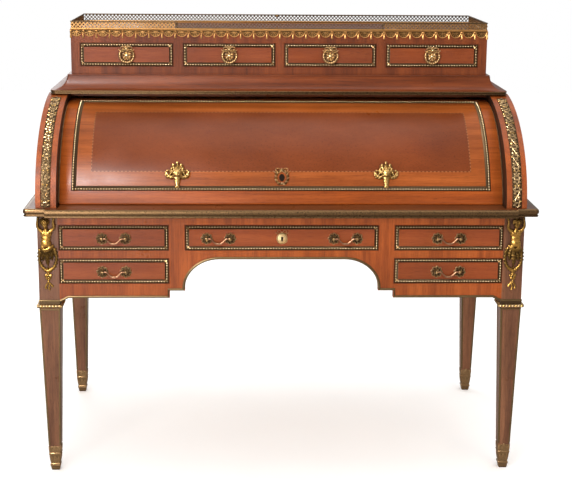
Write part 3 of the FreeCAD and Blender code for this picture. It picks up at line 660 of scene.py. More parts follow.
def make_lights():
    area_light("key_left", (-1.7, -4.3, 2.0), (-0.1, 0, 0.75), (2.2, 1.8), 112, (1.0, 0.98, 0.97))
    area_light("fill_right", (2.3, -4.0, 1.3), (0.1, 0, 0.65), (2.0, 1.6), 64, (1.0, 0.83, 0.64), "glossy")
    area_light("overhead", (0.0, 0.0, 3.8), (0, 0, 0.9), (3.0, 2.0), 40)
    area_light("from_behind", (-1.5, 3.4, 2.2), (0, 0, 0.7), (2.0, 1.4), 24)
    area_light("sheen_low", (-1.25, -2.9, 0.25), (-0.5, -0.36, 0.6), (1.3, 1.0), 30, (0.98, 0.98, 1.0), "diffuse")
    area_light("sheen_lid", (-2.15, -2.4, 2.85), (-0.6, -0.3, 0.86), (0.9, 0.45), 260, (0.97, 0.98, 1.0), "diffuse")


def make_camera():
    """The camera stands in front, a little left of the middle and above the desk, looking down."""
    pitch, yaw, roll = 0.2239, 0.0337, 0.0074
    ahead_flat = Vector((sin(yaw), cos(yaw), 0))
    level = Vector((cos(yaw), -sin(yaw), 0))
    up_flat = Vector((0, 0, 1))
    ahead = ahead_flat * cos(pitch) - up_flat * sin(pitch)
    up = up_flat * cos(pitch) + ahead_flat * sin(pitch)
    right = level * cos(roll) + up * sin(roll)
    top = up * cos(roll) - level * sin(roll)
    data = bpy.data.cameras.new("camera")
    data.lens, data.sensor_width = 86.76, 36.0
    camera = bpy.data.objects.new("camera", data)
    turn = Matrix((right, top, -ahead)).transposed().to_4x4()
    camera.matrix_world = Matrix.Translation((-0.1152, -4.1065, 1.5384)) @ turn
    bpy.context.scene.collection.objects.link(camera)
    bpy.context.scene.camera = camera


# ------------------------------------------------------------------ bead frames

def leaf_band(cast, at, start, length, low, high):
    """A strip of small slanting leaves; at(along, across) gives a place on the plane."""
    count = max(1, round(length / 4.4))
    step = length / count
    lean = step * 0.45
    rows = []
    for k in range(count * 2 + 1):
        along = start + k * step / 2
        ridge = 1.9 if k % 2 else 0.7
        rows.append([(*at(along + shift, across), rise) for shift, across, rise in (
            (-lean, low, 0.0), (-lean, low + 0.3, ridge), (0.0, (low + high) / 2, ridge + 0.4),
            (lean, high - 0.3, ridge * 0.7), (lean, high, 0.0))])
    cast.rings(rows)


def bead_run(cast, start, end, inward, wide=11.0, ends=1):
    """One side of a beaded frame (ends=1) or a joined piece of it (ends=0): dark fillet and bed, painted shade at the
    outer edge and between the beads, a row of bright beads, and a leafy inner band."""
    du, dv = end[0] - start[0], end[1] - start[1]
    length = hypot(du, dv)
    eu, ev = du / length, dv / length

    def at(along, across):
        return (start[0] + eu * along + inward[0] * across, start[1] + ev * along + inward[1] * across)

    # Painted shade: the outer fillet and the bead bed are in dark bronze.
    cast.tone = 1
    for across, inset, width, rise in ((0.8, 0.8, 1.6, 2.0), (BEAD_ROW, 2.0, 6.4, 0.9)):
        cast.strip([at(inset * ends, across), at(length - inset * ends, across)], width, rise)
    leaf_band(cast, at, wide * ends, length - 2 * wide * ends, 7.4, wide)
    cast.tone = 2
    room = length - 2 * BEAD_ROW * ends
    count = max(1, round(room / BEAD_PITCH))
    first = BEAD_ROW if ends else room / count / 2
    for k in range(count + ends):
        cast.dome(*at(first + k * room / count, BEAD_ROW), 2.15, 2.15, 2.8, base=0.4, sides=8)
    cast.tone = 0


def bead_frame(cast, box, wide=11.0):
    """A beaded frame just inside the edge of a drawer's front, with a leaf in each corner."""
    u0, u1, v0, v1 = box[0] + 1, box[1] - 1, box[4] + 1, box[5] - 1
    for start, end, inward in (((u0, v0), (u1, v0), (0, 1)), ((u0, v1), (u1, v1), (0, -1)),
                               ((u0, v0), (u0, v1), (1, 0)), ((u1, v0), (u1, v1), (-1, 0))):
        bead_run(cast, start, end, inward)
    for u, du in ((u0, 1), (u1, -1)):
        for v, dv in ((v0, 1), (v1, -1)):
            cast.leaf(u + du * 5, v + dv * 5, wide * 0.85, wide * 0.42, atan2(dv, du), 2.4)


# ------------------------------------------------------------------ drawer brass

def bail_mounts(cast, u, v, rise=4.2):
    """Two rosettes, each a dark bed with scrolled petals and a bright drop, and the posts of a drop handle."""
    for side in SIDES:
        x = u + side * BAIL_HALF
        cast.tone = 1
        cast.dome(x, v, ROSETTE * 0.84, ROSETTE * 0.84, 1.2, levels=2, sides=24)
        for centre, (root_u, root_v, turn) in zip(circle(x, v, ROSETTE * 0.68, 8), fan(x, v, ROSETTE * 0.18, 8)):
            cast.tone = 2
            cast.strip(spiral(centre, ROSETTE * 0.29, turn - 1.9, 0.72), ROSETTE * 0.13, rise, base=0.4)
            cast.tone = 0
            cast.leaf(root_u, root_v, ROSETTE * 0.34, ROSETTE * 0.17, turn, rise * 0.7, base=0.6, stations=5)
        cast.tone = 2
        cast.dome(x, v - ROSETTE * 0.1, ROSETTE * 0.2, ROSETTE * 0.34, rise * 1.4, base=0.8, sides=12)
        cast.tone = 0
        cast.tube([(x, v, h) for h in (2.0, 6.0, 9.5, 12.0, 13.5)], [3.8, 2.8, 3.5, 3.2, 1.2], sides=12)


def bow(cast, u, v, size, rise, base=0.6):
    """A ribbon bow: two open loops, a knot and two forked tails."""
    loop = ((0, 0), (0.45, 0.40), (0.98, 0.34), (0.92, -0.06), (0.4, -0.10), (0, 0))
    tail = ((0, 0), (0.6, -0.38), (1.05, -0.30), (1.4, -0.04))
    for side in SIDES:
        for path, wide, lift in ((loop, 0.13, rise), (tail, 0.14, rise * 0.8)):
            cast.strip(curve([(u + side * size * a, v + size * b) for a, b in path], 4), size * wide, lift, base=base)
    cast.dome(u, v, size * 0.17, size * 0.2, rise * 1.2, base=base)


def drawer_escutcheon(cast, u, v):
    """Round lock plate with a beaded rim and a ribbon bow over it."""
    cast.tone = 2
    cast.dome(u, v, LOCK_RADIUS, LOCK_RADIUS, 2.0, levels=2, sides=32)
    for share, wide, rise in ((0.96, 2.4, 3.4), (0.58, 1.6, 3.0)):
        cast.strip(circle(u, v, LOCK_RADIUS * share, 32), wide, rise, closed=True)
    for place in circle(u, v, LOCK_RADIUS * 0.78, 16):
        cast.dome(*place, 1.4, 1.4, 3.3, sides=8)
    bow(cast, u, v + LOCK_RADIUS * 1.12, 12.5, rise=3.4)
    cast.tone = 0


def keyhole(name, v, proud, body, mapping):
    """The dark opening of a lock, sunk in its plate: a thin piece in the shadow material, painted shade."""
    cast = Cast()
    ring = [(3.3 * cos(a), v + 2.0 + 3.3 * sin(a), proud) for a in (radians(-30 + 20 * k) for k in range(13))]
    ring += [(-2.3, v - 6.6, proud), (2.3, v - 6.6, proud)]
    cast.rings([[(a, b, h - 1.2) for a, b, h in ring], ring])
    make(name, cast, "shadow", body=body, mapping=mapping)


def bail_piece(node):
    """A swan-neck drop with leaf wraps and a swollen middle, on the pins of its posts."""
    low_x, high_x, _, _, _, high_z = box_mm(node)
    u, v = (low_x + high_x) / 2, high_z - 2.6
    cast = Cast()
    half = [(BAIL_HALF - 4.5, 0), (BAIL_HALF - 9.0, 0.6), (BAIL_HALF - 12.5, -1.2), (BAIL_HALF - 17, -5.2),
            (BAIL_HALF - 22, -10.0), (BAIL_HALF - 27, -12.8), (0, -13.2)]
    path = curve(half + [(-reach, drop) for reach, drop in reversed(half[:-1])], 7)
    shares = [abs(reach) / BAIL_HALF for reach, _ in path]
    radii = [2.2 * (1.0 + 0.30 * exp(-(share / 0.16) ** 2) + 0.30 * exp(-((share - 0.68) / 0.09) ** 2))
             for share in shares]
    cast.tube([(u + a, v + b, BAIL_STAND) for a, b in path], radii)
    for side in SIDES:
        cast.tube([(u + side * (BAIL_HALF + reach), v, BAIL_STAND) for reach in (4, -6)], 2.0)
        cast.ball((u + side * (BAIL_HALF - 5.2), v, BAIL_STAND), (2.8, 2.8, 2.8))
        for reach, drop, turn in ((21.0, 0.0, -2.5), (16.0, -5.5, -2.35), (10.5, -11.5, -2.6)):
            cast.leaf(u + side * reach, v + drop, 7.0, 3.2, outward(turn, side), 2.0, base=BAIL_STAND + 0.6,
                      stations=5)
    for turn in (pi, 0):
        cast.leaf(u, v - 15.0, 6.5, 3.2, turn, 1.6, base=BAIL_STAND + 1.2, stations=5)
    make(node + "_cast", cast, "copper", [node], node, on_front(FRONT))


def drawer_brass():
    """Frames, rosettes and locks of the five carcass drawers."""
    for place in ("upper_left", "lower_left", "upper_right", "lower_right", "centre"):
        name = "drawer_" + place
        box = box_mm(name)
        cast = Cast()
        bead_frame(cast, box)
        height = (box[4] + box[5]) / 2 - 2
        bails = ["bail_" + place]
        if place == "centre":
            bails = ["bail_centre_left", "bail_centre_right"]
            drawer_escutcheon(cast, 0, height)
            keyhole("drawer_keyhole", height, 3.1, name, on_front(FRONT))
        for bail in bails:
            bail_mounts(cast, sum(box_mm(bail)[:2]) / 2, height)
            bail_piece(bail)
        make(name + "_brass", cast, METALS, [name + "_mounts"], name, on_front(FRONT))


def ring_piece(node, plate):
    """A ring of twisted leaf with a bow, hung from a pin, and on the plate the fixed rosette behind it."""
    low_x, high_x, _, _, _, high_z = box_mm(node)
    pin = high_z - 3.0
    u, v = (low_x + high_x) / 2, pin - RING_DROP
    hoop = Cast()
    rings = []
    for a in turns(144) + [2 * pi]:
        ring = []
        for b in turns(10):
            thick = 3.1 + 0.75 * cos(18 * a + 2 * b)
            reach = RING_RADIUS + thick * cos(b)
            ring.append((u + reach * cos(a), v + reach * sin(a), RING_STAND + thick * 0.95 * sin(b)))
        rings.append(ring)
    hoop.rings(rings, close_ends=False)
    hoop.tube([(u - 10.5, pin, RING_STAND), (u + 10.5, pin, RING_STAND)], 2.0)
    hoop.ball((u, pin - 1.5, RING_STAND), (4.0, 4.0, 3.2), 12, 8)
    hoop.tone = 2
    bow(hoop, u, pin - 7.0, 16.5, rise=3.6, base=RING_STAND + 2.2)
    make(node + "_cast", hoop, METALS, [node], node, on_front(CASE_FRONT))

    plate.tone = 2
    for x, y, turn in fan(u, v, 3.0, 6, start=pi / 6):
        plate.leaf(x, y, 12.5, 5.2, turn, 5.0, curl=0.4, base=0.3)
        centre = (u + 13.0 * cos(turn + 0.5), v + 13.0 * sin(turn + 0.5))
        plate.strip(spiral(centre, 4.4, turn, 0.9), 2.6, 4.6, base=0.2)
    plate.dome(u, v, 5.2, 5.2, 5.0, sides=14)
    for place in circle(u, v, 5.4, 8):
        plate.dome(*place, 1.5, 1.5, 4.2, sides=8)
    plate.tone = 0
    plate.strip(circle(u, v, 16.0, 36), 2.2, 2.6, closed=True)
    plate.block(u - 10, u + 10, v + 14, pin + 3, 0.0, 1.8)
    for near in (u - 10.0, u + 10.0):
        plate.tube([(near, pin, 0.5), (near, pin, RING_STAND)], 3.0)
        plate.tube([(near - 1.5, pin, RING_STAND), (near + 1.5, pin, RING_STAND)], 3.7, sides=12)


def small_drawer_brass():
    for place in ("outer_left", "inner_left", "inner_right", "outer_right"):
        drawer = "small_drawer_" + place
        cast = Cast()
        ring_piece("ring_" + place, cast)
        bead_frame(cast, box_mm(drawer))
        make(drawer + "_brass", cast, METALS, [drawer + "_mounts"], drawer, on_front(CASE_FRONT))


# ------------------------------------------------------------------ lid

def lid_panel():
    """The curved lid as one bent panel with eased edges; UVs are metres across and along."""
    half = (LID[1] - LID[0]) / 2
    low_z = LID[4] + 0.8
    inner = LID_RADIUS - LID_THICK
    start_out, start_in = (asin((low_z - AXIS_Z) / radius) for radius in (LID_RADIUS, inner))
    end = radians(98)
    steps, ease = 96, 1.2
    columns = [(-half, ease), (-half + ease * 0.3, ease * 0.3), (-half + ease, 0.0),
               (half - ease, 0.0), (half - ease * 0.3, ease * 0.3), (half, ease)]
    stops = [(0.0, 2.6), (0.0015, 1.1), (0.004, 0.3), (0.007, 0.0)] + [(k / steps, 0.0) for k in range(1, steps + 1)]
    mesh = bpy.data.meshes.new("lid_panel")
    work = bmesh.new()
    layer = work.loops.layers.uv.new("UVMap")
    grid = []
    for t, eased in stops:
        row = []
        for x, sink in columns:
            for radius, start in ((LID_RADIUS - max(sink, eased), start_out), (inner + sink, start_in)):
                angle = start + (end - start) * t
                row.append(work.verts.new((x * MM, (AXIS_Y - radius * cos(angle)) * MM,
                                           (AXIS_Z + radius * sin(angle)) * MM)))
        grid.append(row)
    last = len(columns) - 1
    for a, b in zip(grid, grid[1:]):
        for c in range(0, 2 * last, 2):
            work.faces.new((a[c], a[c + 2], b[c + 2], b[c]))
            work.faces.new((a[c + 1], b[c + 1], b[c + 3], a[c + 3]))
        for c in (0, 2 * last):
            work.faces.new((a[c], b[c], b[c + 1], a[c + 1]))
    for row in (grid[0], grid[-1]):
        for c in range(0, 2 * last, 2):
            work.faces.new((row[c], row[c + 1], row[c + 3], row[c + 2]))
    bmesh.ops.recalc_face_normals(work, faces=work.faces)
    for face in work.faces:
        for loop in face.loops:
            place = loop.vert.co
            angle = atan2(place.z - AXIS_Z * MM, AXIS_Y * MM - place.y)
            loop[layer].uv = (place.x, angle * LID_RADIUS * MM)
    work.to_mesh(mesh)
    work.free()
    mesh.materials.append(MATERIALS["lid"])
    show("lid_panel", mesh, "lid", "lid_veneer", ["cylinder_lid"], 40)


def lid_pull(u, v):
    """A foliate knob: a plume of leaves, two curling sprays and a husk drop, melted into one casting."""
    cast = Cast()
    up = pi / 2
    cast.ball((u, v - 1, 7), (13.5, 11.0, 10.0), 18, 10)
    cast.ball((u, v - 12, 4.5), (10.0, 9.0, 6.5), 14, 8)
    for drop, wide in ((-20, 9.0), (-27, 7.4), (-33, 6.0)):
        cast.ball((u, v + drop, 3.0), (wide, 5.4, 5.2), 12, 8)
        cast.leaf(u, v + drop + 4, 11, wide * 1.7, -up, 6.6, base=0.8)
    for side in SIDES:
        cast.ball((u + side * 3.4, v - 37.0, 3.0), (3.4, 3.6, 3.4))
    for turn, reach, size in ((0.0, 27, 6.4), (0.50, 23, 6.2), (-0.50, 23, 6.2), (1.05, 18, 5.6), (-1.05, 18, 5.6)):
        cast.leaf(u + 2 * sin(turn), v + 2, reach + 6, 12.5, up - turn, 8.5, curl=-0.22 * turn, base=2.0, stations=9)
        cast.ball((u + reach * sin(turn), v + 4 + reach * cos(turn), 7.5), (size * 0.72, size * 0.80, 5.2), 12, 8)
    for side in SIDES:
        spray = curve([(u + side * reach, v + rise, h) for reach, rise, h in (
            (8, -6, 5), (17, -9, 5), (25, -5, 5.5), (29, 3, 6), (27, 10, 6))], 5)
        cast.tube(spray[:-5], 2.6)
        for reach, rise in ((27, 9), (32, 4), (31, -4)):
            cast.ball((u + side * reach, v + rise, 5.5), (3.4, 3.4, 3.4))
        for reach, rise, turn, long in ((12, -7, -0.9, 12), (20, -8, -0.35, 12), (27, -3, 0.3, 9), (19, -5, 1.35, 13)):
            cast.leaf(u + side * reach, v + rise, long, 7.5, outward(turn, side), 7.5, curl=0.3 * side, base=1.0)
        cast.leaf(u + side * 4, v - 3, 15, 9.0, -up + side * 0.85, 9.0, curl=0.4 * side, base=3.0)
    cast.tube([(u, v, 8), (u, v, 13), (u, v, 17), (u, v, 20)], [6.0, 6.0, 8.0, 3.0], sides=14)
    for x, y, turn in fan(u, v, 2.0, 8):
        cast.leaf(x, y, 9.0, 6.4, turn, 3.6, base=15.0, stations=6)
    return fuse(cast, 0.8, 1)


def lid_escutcheon(cast, v):
    """An open wreath round the keyhole, with a bow and a leaf over it."""
    # Painted shade: a low dome in the shadow material darkens the middle of the wreath.
    cast.tone = 1
    cast.dome(0, v - 2, 8.0, 11.0, 0.6, levels=2, sides=28)
    cast.tone = 0
    cast.strip(circle(0, v - 2, 16.0, 30, tall=18.5), 5.4, 5.0, closed=True)
    for k, (x, y, turn) in enumerate(fan(0, v - 2, 14.5, 22, tall=17)):
        cast.tone = 2 if k % 2 else 0
        side = 1 if cos(turn) >= 0 else -1
        cast.leaf(x, y, 9.0, 4.8, turn + 0.9 * side, 5.4, base=1.6, stations=5)
    bow(cast, 0, v + 17, 17.0, rise=4.6, base=1.0)
    for side in SIDES:
        cast.leaf(side * 2, v - 18, 8, 4.5, -pi / 2 + side * 0.6, 4.0, base=0.8)
    cast.leaf(0, v + 14, 12, 6.0, pi / 2, 6.0, base=1.0)
    cast.dome(0, v - 20, 3.0, 3.6, 4.6)


def lid_brass():
    """The lid's bead frame, whose uprights are short pieces that follow the curve, its pulls and its lock."""
    frame_cast = Cast()
    low, high = lid_arc(BEAD_LOW), lid_arc(BEAD_HIGH)
    wide, pieces = 14.0, 24
    for v, inward in ((low, 1), (high, -1)):
        bead_run(frame_cast, (-BEAD_HALF, v), (BEAD_HALF, v), (0, inward), wide)
    for side in SIDES:
        for k in range(pieces):
            v0, v1 = (low + (high - low) * part / pieces for part in (k, k + 1))
            bead_run(frame_cast, (side * BEAD_HALF, v0), (side * BEAD_HALF, v1), (-side, 0), wide, ends=0)
    make("lid_moulding", frame_cast, METALS, ["cylinder_moulding"], "lid", on_lid)
    pulls = Cast()
    box = box_mm("cylinder_pulls")
    for u in (box[0] + 30, box[1] - 30):
        pulls.merge(lid_pull(u, lid_arc(PULL_ANGLE)), as_drawn)
    make("lid_pulls", pulls, "figure", ["cylinder_pulls"], "lid", on_lid, sharp=60)
    lock = Cast()
    centre = lid_arc(LOCK_ANGLE)
    lid_escutcheon(lock, centre)
    make("lid_escutcheon", lock, "brass shadow bright", ["cylinder_lock"], "lid", on_lid)
    keyhole("lid_keyhole", centre - 2, 2.0, "lid", on_lid)
    case = Cast()
    case.block(-32, 32, lid_arc(16), lid_arc(30), -LID_THICK - 12, -LID_THICK + 0.2)
    make("lid_lock_case", case, "brass", body="lid", mapping=on_lid)


# ------------------------------------------------------------------ brass of the case

def inset_ring(path, inset, z):
    """A level ring moved inward from a path whose stops hold their inward mitres."""
    return [(x + nx * inset, y + ny * inset, z) for x, y, nx, ny in path]


def sweep_level(cast, path, profile):
    """Sweep an (inset, height) profile along a level path."""
    cast.rings([[inset_ring([stop], *point)[0] for point in profile] for stop in path])


def rectangle_stops(half, front, rear, radius, steps=5):
    """Stops round a rectangle with rounded front corners, with unit inward directions."""
    stops = []
    for sign, order in ((-1, 1), (1, -1)):
        corner = []
        for k in range(steps + 1):
            a = pi / 2 * k / steps
            corner.append((sign * (half - radius + radius * cos(a)), front + radius - radius * sin(a),
                           -sign * cos(a), sin(a)))
        stops += corner[::order]
    return stops + [(half, rear, -1, -1), (-half, rear, 1, -1)]


EDGE_PROFILE = ((12.0, 758.0), (2.6, 758.0), (1.7, 758.8), (1.4, 760.2), (1.9, 761.6), (3.6, 762.4), (3.9, 764.0),
                (3.6, 765.6), (1.7, 766.4), (0.7, 767.6), (0.15, 769.4), (0.0, 771.6), (0.25, 773.8), (0.9, 776.0),
                (2.0, 777.9), (3.8, 779.3), (6.2, 780.0), (12.0, 780.0))
LIP_PROFILE = ((6.0, 1056.0), (1.0, 1056.0), (0.2, 1057.0), (0.2, 1058.4), (1.0, 1059.2), (2.2, 1059.8),
               (2.2, 1062.2), (1.0, 1062.8), (0.0, 1063.8), (0.0, 1065.0), (0.8, 1065.9), (6.0, 1066.0))


def top_edging():
    """Moulded brass round the fixed margins, along the slide, and on the cornice's lip."""
    half = box_mm("top_margins")[1] + 12
    front, rear = box_mm("brass_edging")[2:4]
    low_x, high_x, near, _, _, _ = box_mm("slide_edging")
    start = high_x + 1
    curved = rectangle_stops(half, front, rear, 12.0)
    path = [(-start, front, 0, 1), *curved[:6][::-1], (-half, rear, 1, -1), (half, rear, -1, -1),
            *curved[6:12][::-1], (start, front, 0, 1)]
    cast = Cast()
    sweep_level(cast, path, EDGE_PROFILE)
    lip_path = rectangle_stops(*LIP, 16.0)[:-2]
    sweep_level(cast, [(-LIP[0], LIP[2], 1, 0), *lip_path, (LIP[0], LIP[2], -1, 0)], LIP_PROFILE)
    make("top_edging", cast, "edge", ["brass_edging"])
    slide = Cast()
    sweep_level(slide, [(low_x, near, 0, 1), (high_x, near, 0, 1)], EDGE_PROFILE)
    make("slide_nosing", slide, "edge", ["slide_edging"], "writing_slide")


def cornice_piece():
    """Fascia, hollow cove and cap with eased corners, over the dust rail."""
    cast = Cast()
    high = box_mm("cornice")[5]
    steps = 14
    rings = [inset_ring(rectangle_stops(*LIP, 16), inset, z)
             for inset, z in ((6.0, LIP_LOW), (6.0, 1065.6), (1.0, 1066.0), (0.6, COVE_LOW))]
    for k in range(1, steps + 1):
        turn = pi / 2 * k / steps
        part = sin(turn)
        sizes = (lip + (cap - lip) * part for lip, cap in zip(LIP, CAP))
        z = COVE_LOW + (COVE_HIGH - COVE_LOW) * (1 - cos(turn))
        rings.append(inset_ring(rectangle_stops(*sizes, 16 - 10 * part), 0.0, z))
    rings += [inset_ring(rectangle_stops(*CAP, 6), inset, z)
              for inset, z in ((1.6, COVE_HIGH + 0.4), (1.6, COVE_HIGH + 1.4), (0.0, COVE_HIGH + 2.0),
                               (0.0, high - 0.8), (0.8, high))]
    cast.rings(rings)
    cast.block(-POST_IN, POST_IN, DUST_Y, DUST_Y + 20, LIP_LOW - 15, LIP_LOW)
    make("cornice_moulding", cast, "cove", ["cornice"], slot="case_veneer", sharp=30)


def vines():
    """Two leafy stems that cross each other up the front of each cheek."""
    length = next(s for s, t in CHEEK_TABLE if CHEEK_RISE * sin(t) > 268)
    centre, swing, wave = 650.0, 6.4, 33.0
    cast = Cast()

    def rail(u, width, rise):
        cast.strip([(u, 1.0 + (length - 2) * k / 80) for k in range(81)], width, rise)

    cast.tone = 1
    rail(centre, 25.0, 0.9)
    cast.tone = 0
    stations = int(length / 2.6)
    spans = int(length / (wave / 3))
    for phase in (0, 1):
        path, sizes = [], []
        for k in range(stations + 1):
            v = 2 + (length - 4) * k / stations
            angle = pi * v / wave + phase * pi
            path.append((centre + swing * sin(angle), v))
            sizes.append(0.85 + 0.25 * abs(sin(angle)))
        cast.strip(path, 3.8, 3.0, sizes, base=0.4 + 0.4 * phase)
        for k in range(spans):
            v = 6 + (length - 14) * k / spans
            angle = pi * v / wave + phase * pi
            out = 1 if sin(angle) > 0 else -1
            u = centre + swing * sin(angle)
            turn = pi / 2 - out * (0.62 + rng.uniform(-0.15, 0.15)) - cos(angle) * 0.3
            cast.tone = 2 if k % 4 == 1 else 0
            cast.leaf(u, v, 8.5 + rng.uniform(-1.0, 1.2), 6.0, turn, 3.4, curl=-0.6 * out, base=0.5, stations=6)
            cast.tone = 0
            if k % 3 != 0:
                cast.leaf(u, v - 4, 9.0, 6.2, pi / 2 + out * 0.9, 3.0, curl=0.5 * out, base=0.4, stations=5)
            if k % 3 == 2:
                cast.dome(u + out * 3.8, v - 5, 2.3, 2.3, 3.6, sides=8)
    for side in SIDES:
        rail(centre + side * 12.9, 1.7, 1.9)
    both = Cast()
    for sign in SIDES:
        both.merge(cast, on_cheek(sign))
    make("cheek_vines", both, "vine bronze figure", ["cheek_mounts"])


def swag(cast, u, top, half):
    """One half-round drapery of nested folds that fan out from its top, on a dark bed."""
    def hung(reach, drop, share):
        a = pi * (1 + share)
        return (u + reach * cos(a), top - 1.0 + drop * sin(a))

    cast.tone = 1
    cast.rings([[(*hung(half * 0.9, 15.0, k / 10), h) for k in range(11)] for h in (0.0, 0.7)])
    cast.tone = 2
    for level, (reach, wide) in enumerate(((1.0, 3.4), (0.70, 2.4), (0.42, 2.2))):
        cast.strip([hung(half * reach, 16.5 * reach, k / 10) for k in range(11)], wide, 2.7 - 0.3 * level, base=0.1)
    for k in range(5):
        cast.bar((u, top - 2), hung(half * 0.9, 15.0, 0.14 + 0.72 * k / 4), 1.0, (0.2, 2.2))


def tassel(cast, u, top):
    """A knot with a bell-shaped tassel."""
    cast.dome(u, top - 2.2, 3.4, 2.8, 2.9, sides=8)
    drop = [(u, top - 3.5 - k * 2.6) for k in range(8)]
    cast.strip(drop, 6.2, 2.8, [0.42, 0.40, 0.46, 0.62, 0.80, 0.95, 1.0, 0.8])
    for shift in (-1.9, 0, 1.9):
        cast.dome(u + shift, top - 21.6, 1.2, 1.5, 2.0, sides=6)


def frieze():
    """Swags along the front and the ends of the upper case, under a beaded fillet."""
    top = box_mm("swag_frieze")[5]
    whole = Cast()
    for mapping, start, end, count in ((on_front(CASE_FRONT), -CASE_HALF - 1.5, CASE_HALF + 1.5, 32),
                                       (on_side(-CASE_HALF, -1), CASE_FRONT + 1, CASE_BACK - 1, 9),
                                       (on_side(CASE_HALF, 1), CASE_FRONT + 1, CASE_BACK - 1, 9)):
        piece = Cast()
        pitch = (end - start) / count
        for k in range(count):
            swag(piece, start + (k + 0.5) * pitch, top - 2.4, pitch * 0.41)
        for k in range(count + 1):
            tassel(piece, min(max(start + k * pitch, start + 2.6), end - 2.6), top - 2.4)
        piece.strip([(start, top - 1.3), (end, top - 1.3)], 2.4, 2.6)
        whole.merge(piece, mapping)
    make("swag_brass", whole, "drapery bronze drapery", ["swag_frieze"])


def lattice(cast, start, end, low, high, pitch=11.0):
    """Crossed diagonal bars between two rails, cut off at both ends."""
    rise = high - low
    count = int(round((end - start) / pitch))
    step = (end - start) / count
    for k in range(-int(rise / step) - 1, count + 1):
        for lean in (1, -1):
            foot = start + k * step if lean > 0 else end - k * step
            u0, v0, u1, v1 = foot, low, foot + lean * rise, high
            for bound, sense in ((start, 1), (end, -1)):
                inside0, inside1 = (u0 - bound) * sense, (u1 - bound) * sense
                if inside0 * inside1 < 0:
                    t = inside0 / (inside0 - inside1)
                    u, v = u0 + (u1 - u0) * t, v0 + (v1 - v0) * t
                    if inside0 < 0:
                        u0, v0 = u, v
                    else:
                        u1, v1 = u, v
            if start - 0.1 <= min(u0, u1) and max(u0, u1) <= end + 0.1 and abs(v1 - v0) > 0.8:
                cast.bar((u0, v0), (u1, v1), 2.5, (-2.2, -0.8 + 0.1 * lean))


def gallery_piece():
    """Pierced gallery: plinth strip, lattice and round rail, stepped down in the middle of the front."""
    half, top, low = CASE_HALF, box_mm("gallery")[5], CASE_HIGH
    gap = 306.0
    front, back = on_front(CASE_FRONT), on_back(CASE_BACK)
    whole = Cast()
    # Each run has its lattice's tone: gilt in front, dark elsewhere, and none in the low middle.
    for mapping, start, end, tone in ((front, -half, -gap, 0), (front, gap, half, 0),
                                      (on_side(half, 1), CASE_FRONT + 3, CASE_BACK, 0),
                                      (on_side(-half, -1), CASE_FRONT + 3, CASE_BACK, 0),
                                      (back, -half + 3, half - 3, 1), (front, -gap, gap, None)):
        piece = Cast()

        def rail(z, proud, radius):
            piece.tube([(start, z, proud), (end, z, proud)], radius)

        piece.tone = 2
        piece.block(start, end, low - 12, low, -3.0, -0.1)
        rail(low + 1.7, -1.2, 1.9)
        if tone is not None:
            piece.tone = tone
            lattice(piece, start + 0.5, end - 0.5, low + 2.4, top - 2.0)
        piece.tone = 1
        rail(*((low + 3.9, -1.6, 1.6) if tone is None else (top - 1.9, -1.6, 1.9)))
        whole.merge(piece, mapping)
    bends = Cast()
    bends.tone = 1
    for sign in SIDES:
        points = [(sign * (gap + 1), top - 1.5), (sign * (gap - 5), top - 2.6), (sign * (gap - 7), top - 9),
                  (sign * (gap - 4), top - 15), (sign * (gap - 10), low + 4.2), (sign * (gap - 18), low + 3.6)]
        bends.tube([(u, v, -1.5) for u, v in curve(points, 5)], 1.45)
        bends.dome(sign * (gap - 2), top - 8, 3.0, 3.4, 1.0, base=-2.2)
    whole.merge(bends, front)
    boss = Cast()
    boss.ball((0, top - 4, -1.5), (3.8, 3.8, 2.2), 16, 8)
    whole.merge(boss, back)
    make("gallery_brass", whole, "lattice bronze drapery", ["gallery"])


# ------------------------------------------------------------------ legs and carcass brass

def post_centres():
    for name in ("leg_front_left", "leg_front_right", "leg_back_left", "leg_back_right"):
        x0, x1, y0, y1, _, _ = box_mm(name)
        yield (x0 + x1) / 2, (y0 + y1) / 2


def square_rings(x, y, levels):
    """Square cross-sections with cut corners through (height, half width)."""
    rings = []
    for z, half in levels:
        b = half - min(1.2, half * 0.12)
        corners = ((-b, -half), (b, -half), (half, -b), (half, b), (b, half), (-b, half), (-half, b), (-half, -b))
        rings.append([(x + du, y + dv, z) for du, dv in corners])
    return rings


def sabots():
    """Foot mounts: a block foot, a leafy cup and a crown of leaf tips."""
    cup, crown = Cast(), Cast()
    for face, root, rows in ((cup, 22, ((-9.5, 7.0, 26, 2.0, 8), (0, 10.5, 26, 2.0, 8), (9.5, 7.0, 26, 2.0, 8),
                                        (-5, 5.0, 19, 1.4, 5), (5, 5.0, 19, 1.4, 5))),
                             (crown, 54, ((-13.5, 6.5, 21, 2.0, 7), (0, 11.0, 24, 2.0, 7), (13.5, 6.5, 21, 2.0, 7),
                                          (-7, 6.0, 17, 1.5, 5), (7, 6.0, 17, 1.5, 5)))):
        for u, wide, long, rise, stations in rows:
            face.leaf(u, root, long, wide, pi / 2, rise, stations=stations)
    for k in range(7):
        cup.dome(-12 + k * 4, 17, 1.6, 1.9, 0.9, base=1.8, sides=8)
    for k in range(9):
        crown.dome(-14 + k * 3.5, 51, 1.5, 1.5, 1.2, base=1.5, sides=8)
    cast = Cast()
    for x, y in post_centres():
        cast.rings(square_rings(x, y, [(0, 10.5), (2, 11.6), (13, 13.6), (14, 14.6), (18.5, 14.6), (19.5, 13.4),
                                       (21, 12.8), (24, 12.9), (46, 16.2), (49, 17.4), (52, 17.4), (53.5, 16.2),
                                       (55, 16.0), (72, 16.9), (74, 16.6)]))
        for quarter in range(4):
            cast.merge(cup, on_post(x, y, quarter, lambda z: 12.6 + (z - 22) * 0.15))
            cast.merge(crown, on_post(x, y, quarter, lambda z: 15.6 + (z - 54) * 0.075))
    make("sabot_brass", cast, "sabot", ["leg_sabots"])


